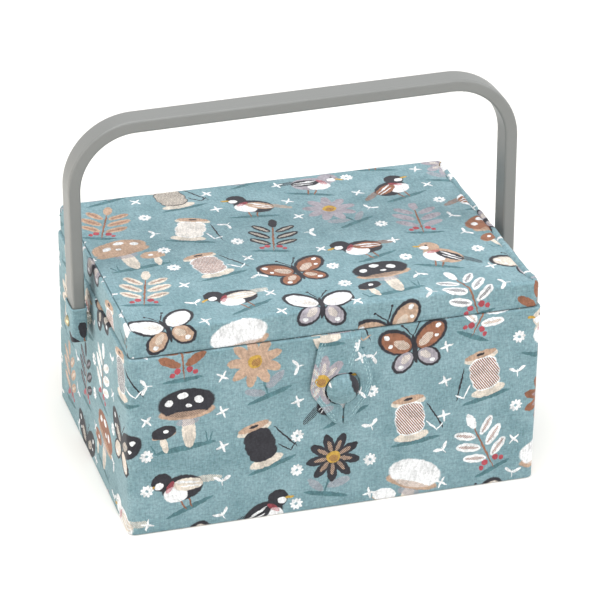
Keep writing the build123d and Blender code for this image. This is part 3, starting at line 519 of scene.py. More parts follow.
def lining_card(name, colour):
    """The same cotton on card, for flat pieces without a print map: its weave is read from the place."""
    material, tree = new_material(name)
    metres = put(tree, "TexCoord", out="Object")
    place = put(tree, "VectorMath", [metres, (1 / MM, 1 / MM, 1 / MM)], operation="MULTIPLY")
    thread = put(tree, "TexNoise", {"Vector": place, "Scale": 1.1, "Detail": 3.0, "Roughness": 0.8})
    tone = put(tree, "MapRange", [thread, 0.3, 0.7, 0.88, 1.04])
    base = toned(tree, rgba(colour), tone)
    finish_material(tree, base, 0.9, thread, 0.1)
    return material


def spun_polyester_thread():
    """Spun polyester sewing thread: a soft sheen on a fine twist."""
    material, tree = new_material("spun_polyester_thread")
    metres = put(tree, "TexCoord", out="Object")
    twist = put(tree, "TexNoise", {"Vector": metres, "Scale": 2600.0, "Detail": 2.0})
    tone = put(tree, "MapRange", [twist, 0.3, 0.7, 0.85, 1.1])
    base = toned(tree, rgba(colours().thread), tone)
    finish_material(tree, base, 0.6, twist, 0.03, **{"Sheen Weight": 0.2})
    return material


def satin_moulded_abs():
    """ABS with a spark-eroded satin skin: an even grey with a fine grain and soft wide highlights."""
    grain_width = 0.4
    material, tree = new_material("satin_moulded_abs")
    metres = put(tree, "TexCoord", out="Object")
    feeds = {"Vector": metres, "Scale": 1 / (2 * grain_width * MM), "Detail": 3.0, "Roughness": 0.6}
    grain = put(tree, "TexNoise", feeds)
    handled = put(tree, "TexNoise", {"Vector": metres, "Scale": 30.0, "Detail": 4.0, "Roughness": 0.7})
    tone = put(tree, "MapRange", [handled, 0.3, 0.7, 0.97, 1.03])
    base = toned(tree, rgba(colours().handle), tone)
    rough = put(tree, "MapRange", [handled, 0.3, 0.7, 0.34, 0.44])
    finish_material(tree, base, rough, grain, 0.02, IOR=1.53)
    return material


def moulded_polystyrene():
    """Moulded polystyrene: smooth and half glossy, with the faint haze of a polished mould."""
    material, tree = new_material("moulded_polystyrene")
    metres = put(tree, "TexCoord", out="Object")
    haze = put(tree, "TexNoise", {"Vector": metres, "Scale": 45.0, "Detail": 3.0})
    tone = put(tree, "MapRange", [haze, 0.3, 0.7, 0.97, 1.02])
    base = toned(tree, rgba(colours().tray), tone)
    rough = put(tree, "MapRange", [haze, 0.3, 0.7, 0.28, 0.38])
    finish_material(tree, base, rough, haze, 0.05, IOR=1.59)
    return material


def worn_metal(name, text, dull, rough, lines):
    """Metal with its colour dulled in patches and fine marks of the tool or the polishing wheel."""
    material, tree = new_material(name)
    metres = put(tree, "TexCoord", out="Object")
    patches = put(tree, "TexNoise", {"Vector": metres, "Scale": 380.0, "Detail": 4.0, "Roughness": 0.7})
    share = put(tree, "MapRange", [patches, 0.4, 0.75, 0.0, 0.5])
    base = mixed(tree, share, rgba(from_hex(text)), rgba(from_hex(dull)))
    marks = put(tree, "VectorMath", [metres, lines], operation="MULTIPLY")
    scratch = put(tree, "TexNoise", {"Vector": marks, "Scale": 1.0, "Detail": 3.0})
    roughness = put(tree, "MapRange", [patches, 0.3, 0.8, rough, rough + 0.15])
    finish_material(tree, base, roughness, scratch, 0.01, Metallic=1.0)
    return material


def polished_brass():
    """Brass-plated rivet head, tumbled and lacquered: pale yellow, a tight highlight and a dulled edge."""
    return worn_metal("polished_brass", "#c0b596", "#6f6750", 0.24, (900.0, 900.0, 900.0))


def turned_nickel():
    """Nickel-plated turned spacer: bright, with the fine rings that the lathe leaves round it."""
    return worn_metal("turned_nickel", "#bdbbb2", "#6f6c62", 0.2, (4000.0, 60.0, 60.0))


def zinc_plated_steel():
    """Zinc-plated pressed steel: dull grey with a faint bluish spangle."""
    return worn_metal("zinc_plated_steel", "#b9bcc0", "#85888c", 0.34, (500.0, 500.0, 500.0))


def greyboard():
    """Grey board rolled from waste paper: matt, flecked with fibres a few tenths of a millimetre wide."""
    material, tree = new_material("greyboard")
    metres = put(tree, "TexCoord", out="Object")
    fibre = put(tree, "TexNoise", {"Vector": metres, "Scale": 900.0, "Detail": 5.0, "Roughness": 0.75})
    share = put(tree, "MapRange", [fibre, 0.35, 0.7, 0.0, 1.0])
    base = mixed(tree, share, rgba(from_hex("#8d867a")), rgba(from_hex("#6c665c")))
    finish_material(tree, base, 0.92, fibre, 0.06)
    return material


def black_nonwoven():
    """Spun-bonded polypropylene under the box: black, matt, pressed with a fine grid of bond points."""
    bond_spacing = 1.5
    material, tree = new_material("black_nonwoven")
    metres = put(tree, "TexCoord", out="Object")
    turns = put(tree, "VectorMath", [metres, (1 / (bond_spacing * MM),) * 3], operation="MULTIPLY")
    points = put(tree, "TexVoronoi", {"Vector": turns, "Scale": 1.0, "Randomness": 0.15}, out="Distance")
    share = put(tree, "MapRange", [points, 0.1, 0.5, 0.0, 1.0])
    base = mixed(tree, share, rgba(from_hex("#141416")), rgba(from_hex("#2a2a2d")))
    finish_material(tree, base, 0.85, points, 0.1)
    return material


def polyester_wadding():
    """Carded polyester wadding: white, matt, cloudy."""
    material, tree = new_material("polyester_wadding")
    metres = put(tree, "TexCoord", out="Object")
    fluff = put(tree, "TexNoise", {"Vector": metres, "Scale": 220.0, "Detail": 6.0, "Roughness": 0.8})
    share = put(tree, "MapRange", [fluff, 0.3, 0.7, 0.0, 1.0])
    base = mixed(tree, share, rgba(from_hex("#dcdcd6")), rgba(from_hex("#f0f0ec")))
    finish_material(tree, base, 0.95, fluff, 0.4)
    return material


# Mesh helpers


def joined_mesh(name, points, faces, prints=None, smooth=True):
    """Object with a mesh from points in millimetres, and the print's place at each face corner."""
    mesh = bpy.data.meshes.new(name)
    mesh.from_pydata([Vector(p) * MM for p in points], [], faces)
    if prints is not None:
        layer = mesh.uv_layers.new(name=PRINT_MAP)
        layer.data.foreach_set("uv", np.asarray(prints, float).ravel())
    mesh.polygons.foreach_set("use_smooth", [smooth] * len(mesh.polygons))
    mesh.update()
    piece = bpy.data.objects.new(name, mesh)
    bpy.context.scene.collection.objects.link(piece)
    return piece


def sheet_mesh(name, points, prints, closed=False, caps=False):
    """Surface over a grid of points.

    A closed one joins its last column to its first, and caps fill its ends.
    """
    points, prints = np.asarray(points, float), np.asarray(prints, float)
    rows, columns = points.shape[:2]
    faces, corners = [], []
    for i in range(rows - 1):
        for j in range(columns if closed else columns - 1):
            k = (j + 1) % columns
            faces.append((i * columns + j, i * columns + k, (i + 1) * columns + k, (i + 1) * columns + j))
            corners += [prints[i, j], prints[i, j + 1], prints[i + 1, j + 1], prints[i + 1, j]]
    if caps:
        faces.append(tuple(range(columns - 1, -1, -1)))
        corners += [prints[0, j] for j in range(columns - 1, -1, -1)]
        faces.append(tuple((rows - 1) * columns + j for j in range(columns)))
        corners += [prints[rows - 1, j] for j in range(columns)]
    return joined_mesh(name, points.reshape(-1, 3), faces, corners)


def thicken(piece, thickness, offset=-1.0):
    """Gives a sheet its thickness, with a rim."""
    solid = piece.modifiers.new("thickness", "SOLIDIFY")
    solid.thickness = thickness
    solid.offset = offset
    solid.use_rim = True


def face_outwards(piece, outside):
    """Turns the faces over if they look away from the side that the vector points to."""
    total = Vector()
    for polygon in piece.data.polygons:
        total += polygon.normal * polygon.area
    if total.dot(Vector(outside)) < 0:
        piece.data.flip_normals()


def dress(piece, material, body, slot, *replaced):
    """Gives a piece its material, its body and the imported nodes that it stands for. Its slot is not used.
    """
    piece.data.materials.clear()
    piece.data.materials.append(material)
    if body is not None:
        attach(piece, body)
    if replaced:
        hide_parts(*replaced)
    return piece


def drift(place, span, seed):
    """Smooth chance from -1 to 1 that changes over the span."""
    return noise.noise(Vector(place) / span + Vector((seed, seed * 0.37, seed * 0.71)))


def ease(value, low, high):
    """Share from 0 to 1 as the value goes from low to high, with soft ends."""
    share = min(max((value - low) / (high - low), 0.0), 1.0)
    return share * share * (3 - 2 * share)


def spread(low, high, count):
    """Evenly spaced values, both ends included."""
    return [low + (high - low) * i / (count - 1) for i in range(count)]


def along_outline(plan, start_x, overlap, step):
    """Round a plan outline, seen from above anticlockwise, from a point on the back wall.

    Each sample is (share of the half width, share of the half depth, normal x, normal y, length so far).
    """
    wide, deep = plan[0] - plan[3], plan[1] - plan[3]
    arc = math.pi / 2 * plan[3]
    stretches = [
        ("x", start_x / wide, -1.0, 1.0, (0, 1)),
        ("corner", -1, 1, 90.0, None),
        ("y", 1.0, -1.0, -1.0, (-1, 0)),
        ("corner", -1, -1, 180.0, None),
        ("x", -1.0, 1.0, -1.0, (0, -1)),
        ("corner", 1, -1, 270.0, None),
        ("y", -1.0, 1.0, 1.0, (1, 0)),
        ("corner", 1, 1, 0.0, None),
        ("x", 1.0, (start_x - overlap) / wide, 1.0, (0, 1)),
    ]
    samples, so_far = [], 0.0
    for kind, a, b, c, normal in stretches:
        if kind == "corner":
            for turn in spread(0.0, 90.0, 9)[:-1]:
                angle = math.radians(c + turn)
                samples.append((a, b, math.cos(angle), math.sin(angle), so_far + arc * turn / 90))
            so_far += arc
            continue
        half = wide if kind == "x" else deep
        length = abs(b - a) * half
        for share in spread(0.0, 1.0, max(2, round(length / step) + 1))[:-1]:
            at = a + (b - a) * share
            ends = (at, c) if kind == "x" else (c, at)
            samples.append((*ends, *normal, so_far + length * share))
        so_far += length
    samples.append(((start_x - overlap) / wide, 1.0, 0.0, 1.0, so_far))
    return samples


def outline_at(plan, sample, inset):
    """Point of the outline at a sample, moved inwards by the inset."""
    share_x, share_y, normal_x, normal_y = sample[:4]
    radius = max(plan[3] - inset, 0.6)
    x = share_x * (plan[0] - inset - radius) + normal_x * radius
    return x, plan[2] + share_y * (plan[1] - inset - radius) + normal_y * radius


# Pieces


# Rounding of the cloth at the foot, and how far its turned-under edge hangs below the boards' underside
FOOT_RADIUS = 0.7
FOOT_SAG = 0.35
# The cloth lies flat under the loop: the x and z of the loop's middle, and how far from it the cloth starts
# to rise and is free
LOOP_MIDDLE = (2.0, 92.0)
FLAT_UNDER_LOOP = (30.0, 48.0)


def make_body_cover(material):
    """Printed cloth glued round the walls, lapped on the back, turned in over the top and under the foot."""
    lap_from, lap = -96.0, 11.0
    samples = along_outline(BODY_PLAN, lap_from, lap, 3.2)
    total = samples[-1][4]
    turned_in = [(3.9, BODY_TOP - 1.6), (3.9, BODY_TOP - 0.5), (3.4, BODY_TOP), (2.0, BODY_TOP + 0.05)]
    edge = [(0.75, BODY_TOP), (0.3, BODY_TOP - 0.15), (0.06, BODY_TOP - 0.6)]
    edge_z = BODY_FOOT - FOOT_SAG + FOOT_RADIUS
    wall = [(0.0, z) for z in spread(BODY_TOP - 1.4, edge_z, 42)]
    foot = [(FOOT_RADIUS * (1 - math.cos(a)), edge_z - FOOT_RADIUS * math.sin(a)) for a in
            (math.radians(d) for d in (22.5, 45, 67.5, 90))]
    hem = [(2.4, BODY_FOOT - 0.25), (4.6, BODY_FOOT), (11.0, BODY_FOOT), (15.6, BODY_FOOT)]
    profile = turned_in + edge + wall + foot + hem
    points, prints = [], []
    length = BODY_TOP + 7.0
    last = profile[0]
    for inset, z in profile:
        length -= math.dist(last, (inset, z))
        last = (inset, z)
        row, marks = [], []
        for sample in samples:
            x, y = outline_at(BODY_PLAN, sample, inset)
            lapped = 0.75 * ease(sample[4], total - lap - 3.0, total - lap + 0.5)
            held = ease(z, BODY_FOOT + 1, BODY_FOOT + 12) * ease(BODY_TOP - z, 1, 10)
            from_loop = math.hypot(x - LOOP_MIDDLE[0], z - LOOP_MIDDLE[1])
            near_loop = ease(from_loop, *FLAT_UNDER_LOOP) if y < 0 else 1.0
            rise = sizes().slack / MM * held * near_loop * (drift((x, y, z), 34.0, 1.0) - 0.35)
            rise += 0.10 * held * near_loop * drift((x, y, z * 0.5), 9.0, 5.0)
            out = lapped + rise
            row.append((x + sample[2] * out, y + sample[3] * out, z))
            marks.append((sample[4], length))
        points.append(row)
        prints.append(marks)
    piece = sheet_mesh("body_cover", points, prints)
    face_front(piece)
    thicken(piece, sizes().cloth)
    dress(piece, material, "box_body", "printed_cloth", "body_cover_cloth")
    return piece


def face_front(piece):
    """Makes the faces of a wrapped sheet look outwards, judged by the face that lies nearest the front."""
    nearest = min(piece.data.polygons, key=lambda polygon: polygon.center.y + abs(polygon.center.x) * 0.01)
    if nearest.normal.y > 0:
        piece.data.flip_normals()


def lid_columns():
    """Columns across the lid's cover: round one front corner, along the front and round the other."""
    columns = []
    for turn in spread(90.0, 0.0, 13)[:-1]:
        columns.append((-1.0, -math.sin(math.radians(turn)), math.cos(math.radians(turn))))
    for share in spread(-1.0, -0.86, 24)[:-1] + spread(-0.86, 0.86, 84) + spread(0.86, 1.0, 24)[1:]:
        columns.append((share, 0.0, 1.0))
    for turn in spread(0.0, 90.0, 13)[1:]:
        columns.append((1.0, math.sin(math.radians(turn)), math.cos(math.radians(turn))))
    return columns


# How far in the tucks lie, the rounding of the cover at the front and the back, and how far it flattens
# towards the back as a share of its crown
TUCK_INSET = 3.3
FRONT_ROUND = 2.4
BACK_ROUND = 2.5
BACK_SAG = 1.2
TUCK_RANGE = LID_SIDE - TUCK_INSET
# How far the lid's right edge hangs between its corners, and the share of it that the cover beside it takes
RIGHT_SAG = 1.4
COVER_SAG = 0.3
# How deep and how wide the cover dips at its tucked edge
TUCK_DIP = 1.3
TUCK_DIP_WIDTH = 1.1
# Creases of the lid's cover as (from, to, width, depth), in x and y seen from above
LID_CREASES = [
    ((-TUCK_RANGE, 15.0), (-114.0, 34.0), 1.1, 1.0),
    ((-TUCK_RANGE, -84.0), (-120.5, -78.0), 1.3, 0.3),
    ((-TUCK_RANGE, -20.0), (-122.0, -12.0), 1.5, 0.22),
    ((TUCK_RANGE, -84.0), (121.5, -77.0), 1.3, 0.26),
]
# Shallow hollows beside the tucks as (x, y, half width, half length, depth)
LID_HOLLOWS = [
    (-TUCK_RANGE + 4.0, 6.0, 7.5, 11.0, 0.75),
    (-TUCK_RANGE + 3.0, -42.0, 7.0, 10.0, 0.4),
    (-TUCK_RANGE + 3.0, 62.0, 7.0, 9.0, 0.35),
    (TUCK_RANGE - 3.0, 20.0, 6.0, 12.0, 0.35),
    (TUCK_RANGE - 3.0, -55.0, 6.0, 9.0, 0.3),
]


def right_sag(y):
    """How far the lid's right edge hangs between its corners, in millimetres."""
    return RIGHT_SAG * ease(LID_HALF - abs(y - LID_MIDDLE), 3.0, 17.0)


def wider_ridge(y):
    """How much further in the tuck lies on the right side, most towards the front, in millimetres."""
    return (1.0 + 1.2 * ease(-y, 0.0, 35.0)) * ease(LID_HALF - abs(y - LID_MIDDLE), 2.0, 9.0)


def pulled_down(x, y):
    """How deep the lid's cover lies below its even surface, from its sag, its creases and its hollows.

    A crease falls off slowly on one side and at once on the other, and runs out at its far end.
    """
    total = COVER_SAG * right_sag(y) * ease(x, TUCK_RANGE - 18.0, TUCK_RANGE - 1.0)
    for (ax, ay), (bx, by), wide, depth in LID_CREASES:
        along = Vector((bx - ax, by - ay))
        at = Vector((x - ax, y - ay))
        reach = at.dot(along) / along.length_squared
        share = min(max(reach, 0.0), 1.0)
        aside = (along.x * at.y - along.y * at.x) / along.length / wide
        beyond = (reach - share) * along.length / wide
        fold = math.exp(-((min(aside, 0.0) / 4.0) ** 2)) * (1 - ease(aside, 0.0, 0.9))
        total += depth * (1 - 0.8 * share) * fold * math.exp(-beyond * beyond)
    for cx, cy, wide, long, depth in LID_HOLLOWS:
        reach = math.hypot((x - cx) / wide, (y - cy) / long)
        total += depth * math.exp(-reach * reach)
    return total


def under_the_cover(x, y):
    """Highest place of the wadding: below the cloth with its sag and hollows, and out of the tucks."""
    if abs(x) > TUCK_RANGE - 1.6 - wider_ridge(y):
        return LID_TOP - 4.0
    crown = CROWN * (1 - (x / LID_SIDE) ** 2) * (1 - BACK_SAG * ease(y, 10.0, 86.0))
    return LID_TOP + crown - pulled_down(x, y) - sizes().cloth / MM - 0.45


def make_lid_cover(material):
    """One cloth over the wadded lid: up the front, over the top, down the back, tucked in at both sides."""
    columns = lid_columns()
    corner = LID_PLAN[3]
    wide, deep = LID_SIDE - corner, LID_HALF - corner

    def crown_at(x):
        """Height of the top surface above the lid's side edges."""
        return CROWN * (1 - (x / LID_SIDE) ** 2)

    def end_rows(sign, rounding):
        """Rows of one end, front (-1) or back (+1), from the rim's inside up to where the top begins.

        Each place is (point, print, outward direction in plan).
        """
        rim = [(3.6, LID_FOOT + 1.4), (3.1, LID_FOOT + 0.1), (1.5, LID_FOOT)]
        rim += [(0.4, LID_FOOT + 0.1), (0.0, LID_FOOT + 0.6)]
        face = [(0.0, z) for z in spread(LID_FOOT + 1.8, LID_TOP - rounding - 0.2, 12)]
        rows = [(inset, z, None) for inset, z in rim + face]
        rows += [(0.0, 0.0, angle) for angle in spread(0.0, 90.0, 13)]
        placed = []
        for inset, z, angle in rows:
            line = []
            for share, nx, ny in columns:
                radius = rounding + (TUCK_INSET - rounding) * ease(abs(nx), 0.0, 1.0)
                top = LID_TOP + crown_at(share * wide)
                if angle is None:
                    reach, height = corner - inset, min(z, top - radius)
                    drop, share_round = radius * math.pi / 2 + (top - radius - height) + inset, 0.0
                else:
                    turn = math.radians(angle)
                    reach = corner - radius * (1 - math.cos(turn))
                    height = top - radius + radius * math.sin(turn)
                    drop, share_round = radius * (math.pi / 2 - turn), angle / 90
                x, y = share * wide + nx * reach, LID_MIDDLE + sign * (deep + ny * reach)
                ring_y = LID_MIDDLE + sign * (deep + ny * (corner - radius))
                arc_u = share * wide + math.copysign(math.asin(min(1.0, abs(nx))) * corner, nx)
                u = arc_u + (x - arc_u) * share_round
                line.append(((x, y, height), (u, ring_y + sign * drop), (nx, sign * ny)))
            placed.append(line)
        return placed

    front = end_rows(-1, FRONT_ROUND)
    back = end_rows(1, BACK_ROUND)[::-1]
    middle = []
    for share in spread(0.0, 1.0, 130)[1:-1]:
        line = []
        for (low, _, _), (high, _, _) in zip(front[-1], back[0]):
            x = low[0] + (high[0] - low[0]) * share
            y = low[1] + (high[1] - low[1]) * share
            line.append(((x, y, LID_TOP + crown_at(x)), (x, y), (0.0, 0.0)))
        middle.append(line)
    rows = front + middle + back
    points, prints = [], []
    for index, line in enumerate(rows):
        row, marks = [], []
        on_top = len(front) - 1 <= index <= len(front) + len(middle)
        for (x, y, z), mark, normal in line:
            out = sizes().slack / MM * drift((x, y, z), 30.0, 8.0) - 0.05
            if on_top:
                hold = ease(TUCK_RANGE - abs(x), 0, 8) * ease(deep - abs(y - LID_MIDDLE), -2, 10)
                z += hold * (1.6 * out + 0.26 * drift((x, y * 0.6, 0), 11.0, 12.0))
                z -= pulled_down(x, y) + BACK_SAG * crown_at(x) * ease(y, 10.0, 86.0)
                z -= TUCK_DIP * math.exp(-(((TUCK_RANGE - x) / TUCK_DIP_WIDTH) ** 2))
                x -= wider_ridge(y) * ease(x, TUCK_RANGE - 12.0, TUCK_RANGE)
            else:
                z -= BACK_SAG * crown_at(x) * ease(y, 10.0, 86.0) * ease(z, LID_FOOT + 4, LID_TOP)
                hold = ease(z, LID_FOOT + 0.8, LID_FOOT + 5)
                out += 0.22 * drift((x * 0.6, y * 0.6, z), 9.0, 21.0) - corner_fold(x, y, z)
                x, y = x + normal[0] * out * hold, y + normal[1] * out * hold
            row.append((x, y, z))
            marks.append(mark)
        for side, at in ((-1, 0), (1, -1)):
            x, y, z = row[at]
            if on_top or z > LID_TOP - 3.0:
                tucked = (x + side * 0.1, y, z - 4.0)
            else:
                tucked = (x - side * 1.1, y + (2.6 if y < 0 else -2.6), z)
            extra = (marks[at][0] + side * 3.2, marks[at][1])
            where = 0 if at == 0 else len(row)
            row.insert(where, tucked)
            marks.insert(where, extra)
        points.append(row)
        prints.append(marks)
    piece = sheet_mesh("lid_cover", points, prints)
    face_front(piece)
    thicken(piece, sizes().cloth)
    dress(piece, material, "lid", "printed_cloth", "lid_cover_cloth")
    return piece


def corner_fold(x, y, z):
    """Depth of the crease where the tuck ends on the lid's front corners: it runs down and inwards."""
    if y > 0:
        return 0.0
    down = LID_TOP - z
    middle = LID_SIDE - 2.6 - 0.55 * down
    aside = (abs(x) - middle) / 0.8
    return 0.45 * math.exp(-aside * aside) * (1 - ease(down, 4.0, 9.0))


# Places along y where a side band bunches up in its tuck, as (place, half length, depth)
BAND_BUNCHES = {-1: [(14.5, 1.5, 1.1), (10.0, 3.2, -0.7), (-2.0, 1.4, 0.7), (-21.0, 1.8, 0.5)],
                1: [(17.0, 2.2, 0.5), (-30.0, 1.8, 0.35)]}

# How far the folded edge of each side band stands above the lid's edge, and how far in the right one leans,
# as a share of its sag
BAND_PROUD = {-1: 0.35, 1: 0.7}
BAND_LEAN = 0.3


def make_side_band(material, side, name, replaced):
    """Cloth over one side of the lid, folded back into the tuck along its top edge."""
    rim, proud = 2.5, BAND_PROUD[side]
    half = LID_HALF - LID_PLAN[3] - 0.4
    floor = corners_of("lid_wadding_pad")[0].z
    lengths = spread(LID_MIDDLE - half, LID_MIDDLE + half, 130)
    foot = [(3.7, LID_FOOT + 1.4), (3.1, LID_FOOT + 0.05), (1.5, LID_FOOT - 0.02), (0.4, LID_FOOT + 0.1)]
    wall = [(0.0, z) for z in spread(LID_FOOT + 0.6, LID_TOP - 1.6, 11)]
    fold = [(rim * 0.03, LID_TOP - 0.9), (rim * 0.13, LID_TOP - 0.3 + proud * 0.6)]
    fold += [(rim * 0.3, LID_TOP + proud * 0.95), (rim * 0.5, LID_TOP + proud)]
    inner = [(rim * 0.7, LID_TOP + proud * 0.9), (rim * 0.9, LID_TOP - 0.3 + proud * 0.6)]
    inner += [(rim, LID_TOP - 0.9)]
    hem = [(rim + 0.1, floor + 0.35), (rim + 0.3, floor + 0.1), (rim + 1.4, floor + 0.1)]
    profile = foot + wall + fold + inner + hem
    points, prints = [], []
    length = 0.0
    last = profile[0]
    for index, (inset, z) in enumerate(profile):
        length += math.dist(last, (inset, z))
        last = (inset, z)
        row, marks = [], []
        for y in lengths:
            end = 1 - ease(half + 0.4 - abs(y - LID_MIDDLE), 0.0, 5.0)
            high = ease(z, LID_FOOT + 4, LID_TOP)
            wave = 0.3 * drift((0, y, side * 40), 21.0, 3.0) + 0.2 * drift((0, y, side * 20), 6.0, 9.0)
            wave *= high
            bunch = 0.0
            for at, wide, deep in BAND_BUNCHES[side]:
                bunch += deep * math.exp(-(((y - at) / wide) ** 2))
            sag, wider = (right_sag(y), wider_ridge(y)) if side > 0 else (0.0, 0.0)
            x = LID_SIDE - inset * (1 + wider / rim * high) + wave * 0.8
            x -= high * (bunch * 0.7 + BAND_LEAN * sag)
            x -= 0.35 * end * high
            low_fold = 0.0
            for at, _, deep in BAND_BUNCHES[side]:
                low_fold += deep * math.exp(-(((y - at - 0.5 * (LID_TOP - z)) / 2.4) ** 2))
            low_fold *= 0.35 * (1 - high)
            loose = sizes().slack / MM * ease(z, LID_FOOT + 1, LID_FOOT + 6)
            loose *= drift((LID_SIDE, y, z), 26.0, 15.0)
            height = z + wave - high * (bunch + sag + 0.7 * end)
            if index >= len(profile) - len(hem):
                height = z
            elif index >= len(profile) - len(hem) - len(inner):
                height = max(height, floor + 0.15)
            row.append((side * (x + loose - low_fold - 0.1), y, height))
            marks.append((side * y, length))
        points.append(row)
        prints.append(marks)
    piece = sheet_mesh(name, points, prints)
    face_outwards(piece, (side, 0, 0.2))
    thicken(piece, sizes().cloth)
    dress(piece, material, "lid", "printed_cloth", replaced)
    return piece


def make_hinge_cloth(material):
    """Strip of cloth glued across the back seam. Its rows lie close at the seam, where the hinge bends."""
    low, high = corners_of("hinge_cloth")
    seam = HINGE_LINE.z
    heights = spread(low.z, seam - 4, 7) + spread(seam - 3, seam + 3, 19) + spread(seam + 4, high.z, 5)
    points, prints = [], []
    for z in heights:
        row, marks = [], []
        for x in spread(high.x, low.x, 90):
            corner = ease(high.x - abs(x), 0, 3) * ease(min(z - low.z, high.z - z), -1.5, 2.5)
            edge = 0.5 * (1 - ease(min(z - low.z, high.z - z), 0.0, 2.2))
            y = high.y - 0.1 - 0.22 * (1 - corner) + 0.12 * drift((x, 0, z), 18.0, 4.0) - 0.1 * edge
            row.append((x, y, z))
            marks.append((-x, z))
        points.append(row)
        prints.append(marks)
    piece = sheet_mesh("hinge_strip", points, prints)
    face_outwards(piece, (0, 1, 0))
    thicken(piece, sizes().cloth)
    dress(piece, material, None, "printed_cloth", "hinge_cloth")
    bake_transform(piece)
    return piece


def smooth_curve(knots, count):
    """Points of a smooth curve through the knots, evenly spread over them."""
    knots = [Vector(k) for k in knots]
    ends = [knots[0] * 2 - knots[1], *knots, knots[-1] * 2 - knots[-2]]
    curve = []
    for share in spread(0.0, len(knots) - 1.0, count):
        at = min(int(share), len(knots) - 2)
        t = share - at
        a, b, c, d = ends[at : at + 4]
        square, cube = 2 * a - 5 * b + 4 * c - d, 3 * b - a - 3 * c + d
        curve.append(0.5 * (2 * b + (c - a) * t + square * t * t + cube * t**3))
    return curve


def evenly(curve, count):
    """The same curve with evenly spaced points."""
    lengths = [0.0]
    for a, b in zip(curve, curve[1:]):
        lengths.append(lengths[-1] + (b - a).length)
    even, at = [], 0
    for length in spread(0.0, lengths[-1], count):
        while at < len(curve) - 2 and lengths[at + 1] < length:
            at += 1
        span = max(lengths[at + 1] - lengths[at], 1e-9)
        even.append(curve[at].lerp(curve[at + 1], (length - lengths[at]) / span))
    return even


def sewn_stitches(name, rows, out, body):
    """Rows of separate stitches, each a short thread that rises from the cloth and dives back into it."""
    size = sizes()
    long, gap, thick = size.stitch / MM, size.stitch_gap / MM, size.thread / MM
    points, faces = [], []
    sides, rings = 6, 7
    out = Vector(out)
    for path in rows:
        lengths = [0.0]
        for a, b in zip(path, path[1:]):
            lengths.append(lengths[-1] + (b - a).length)
        count = int((lengths[-1] - gap) / (long + gap))
        pitch = lengths[-1] / max(count, 1)
        even = evenly(path, count * 12 + 1)
        for index in range(count):
            near = even[index * 12]
            far = even[min(index * 12 + round(12 * long / pitch), len(even) - 1)]
            along = (far - near).normalized()
            across = out.cross(along).normalized()
            up = along.cross(across)
            first = len(points)
            for ring in range(rings):
                t = ring / (rings - 1)
                centre = near.lerp(far, t) + out * (thick * (1.5 * math.sin(math.pi * t) - 0.55))
                radius = thick * (0.45 + 0.55 * math.sin(math.pi * t))
                for k in range(sides):
                    turn = 2 * math.pi * k / sides
                    points.append(centre + (across * math.cos(turn) + up * math.sin(turn)) * radius)
            for ring in range(rings - 1):
                for k in range(sides):
                    a, b = first + ring * sides + k, first + ring * sides + (k + 1) % sides
                    faces.append((a, b, b + sides, a + sides))
            faces.append(tuple(first + k for k in range(sides - 1, -1, -1)))
            faces.append(tuple(first + (rings - 1) * sides + k for k in range(sides)))
    piece = joined_mesh(name, points, faces)
    dress(piece, bpy.data.materials["spun_polyester_thread"], body, "printed_cloth")
    return piece


# Outer edges of the loop as (x, depth below the lid's lower edge), and the hole round the button
LOOP_LEFT = [(-11.7, 0.0), (-13.8, 8.0), (-15.4, 16.5), (-18.0, 32.0), (-17.5, 38.0), (-15.3, 42.4),
             (-10.4, 49.6), (-5.2, 58.0), (-1.2, 62.0), (3.4, 63.4)]
LOOP_RIGHT = [(9.0, 0.0), (14.0, 10.2), (19.9, 22.6), (22.3, 32.3), (21.7, 38.2), (19.0, 46.4),
              (13.8, 54.6), (9.1, 60.8), (4.4, 63.4)]
FRONT_LEG_INNER = [(14.2, 0.0), (12.9, 9.0), (10.8, 16.8), (8.5, 23.6)]
BACK_LEG_INNER = [(-17.1, 0.0), (-13.8, 7.6), (-4.0, 18.0), (5.0, 25.6)]
# Distance of the outer row of stitches from the edge, and of the inner row from the outer one
STITCH_INSET = 1.6
STITCH_ROWS = 1.9
# Where the print starts on the loop's front and back legs, on the button and on the sleeves
FRONT_LEG_PRINT = (-137.5, 279.5)
BACK_LEG_PRINT = (-90.0, 165.5)
BUTTON_PRINT = (-116.7, -116.9)
SLEEVE_PRINT = 138.2


def hole_arc(middle, radius, start, end, count, gape=0.0):
    """Points round the loop's hole from one angle to another, in degrees from the right, anticlockwise.

    The arc can gape at its start.
    """
    points = []
    for index, angle in enumerate(spread(start, end, count)):
        reach = radius + gape * max(0.0, 1 - 2.5 * index / (count - 1))
        turn = math.radians(angle)
        points.append((middle[0] + reach * math.cos(turn), middle[1] - reach * math.sin(turn)))
    return points


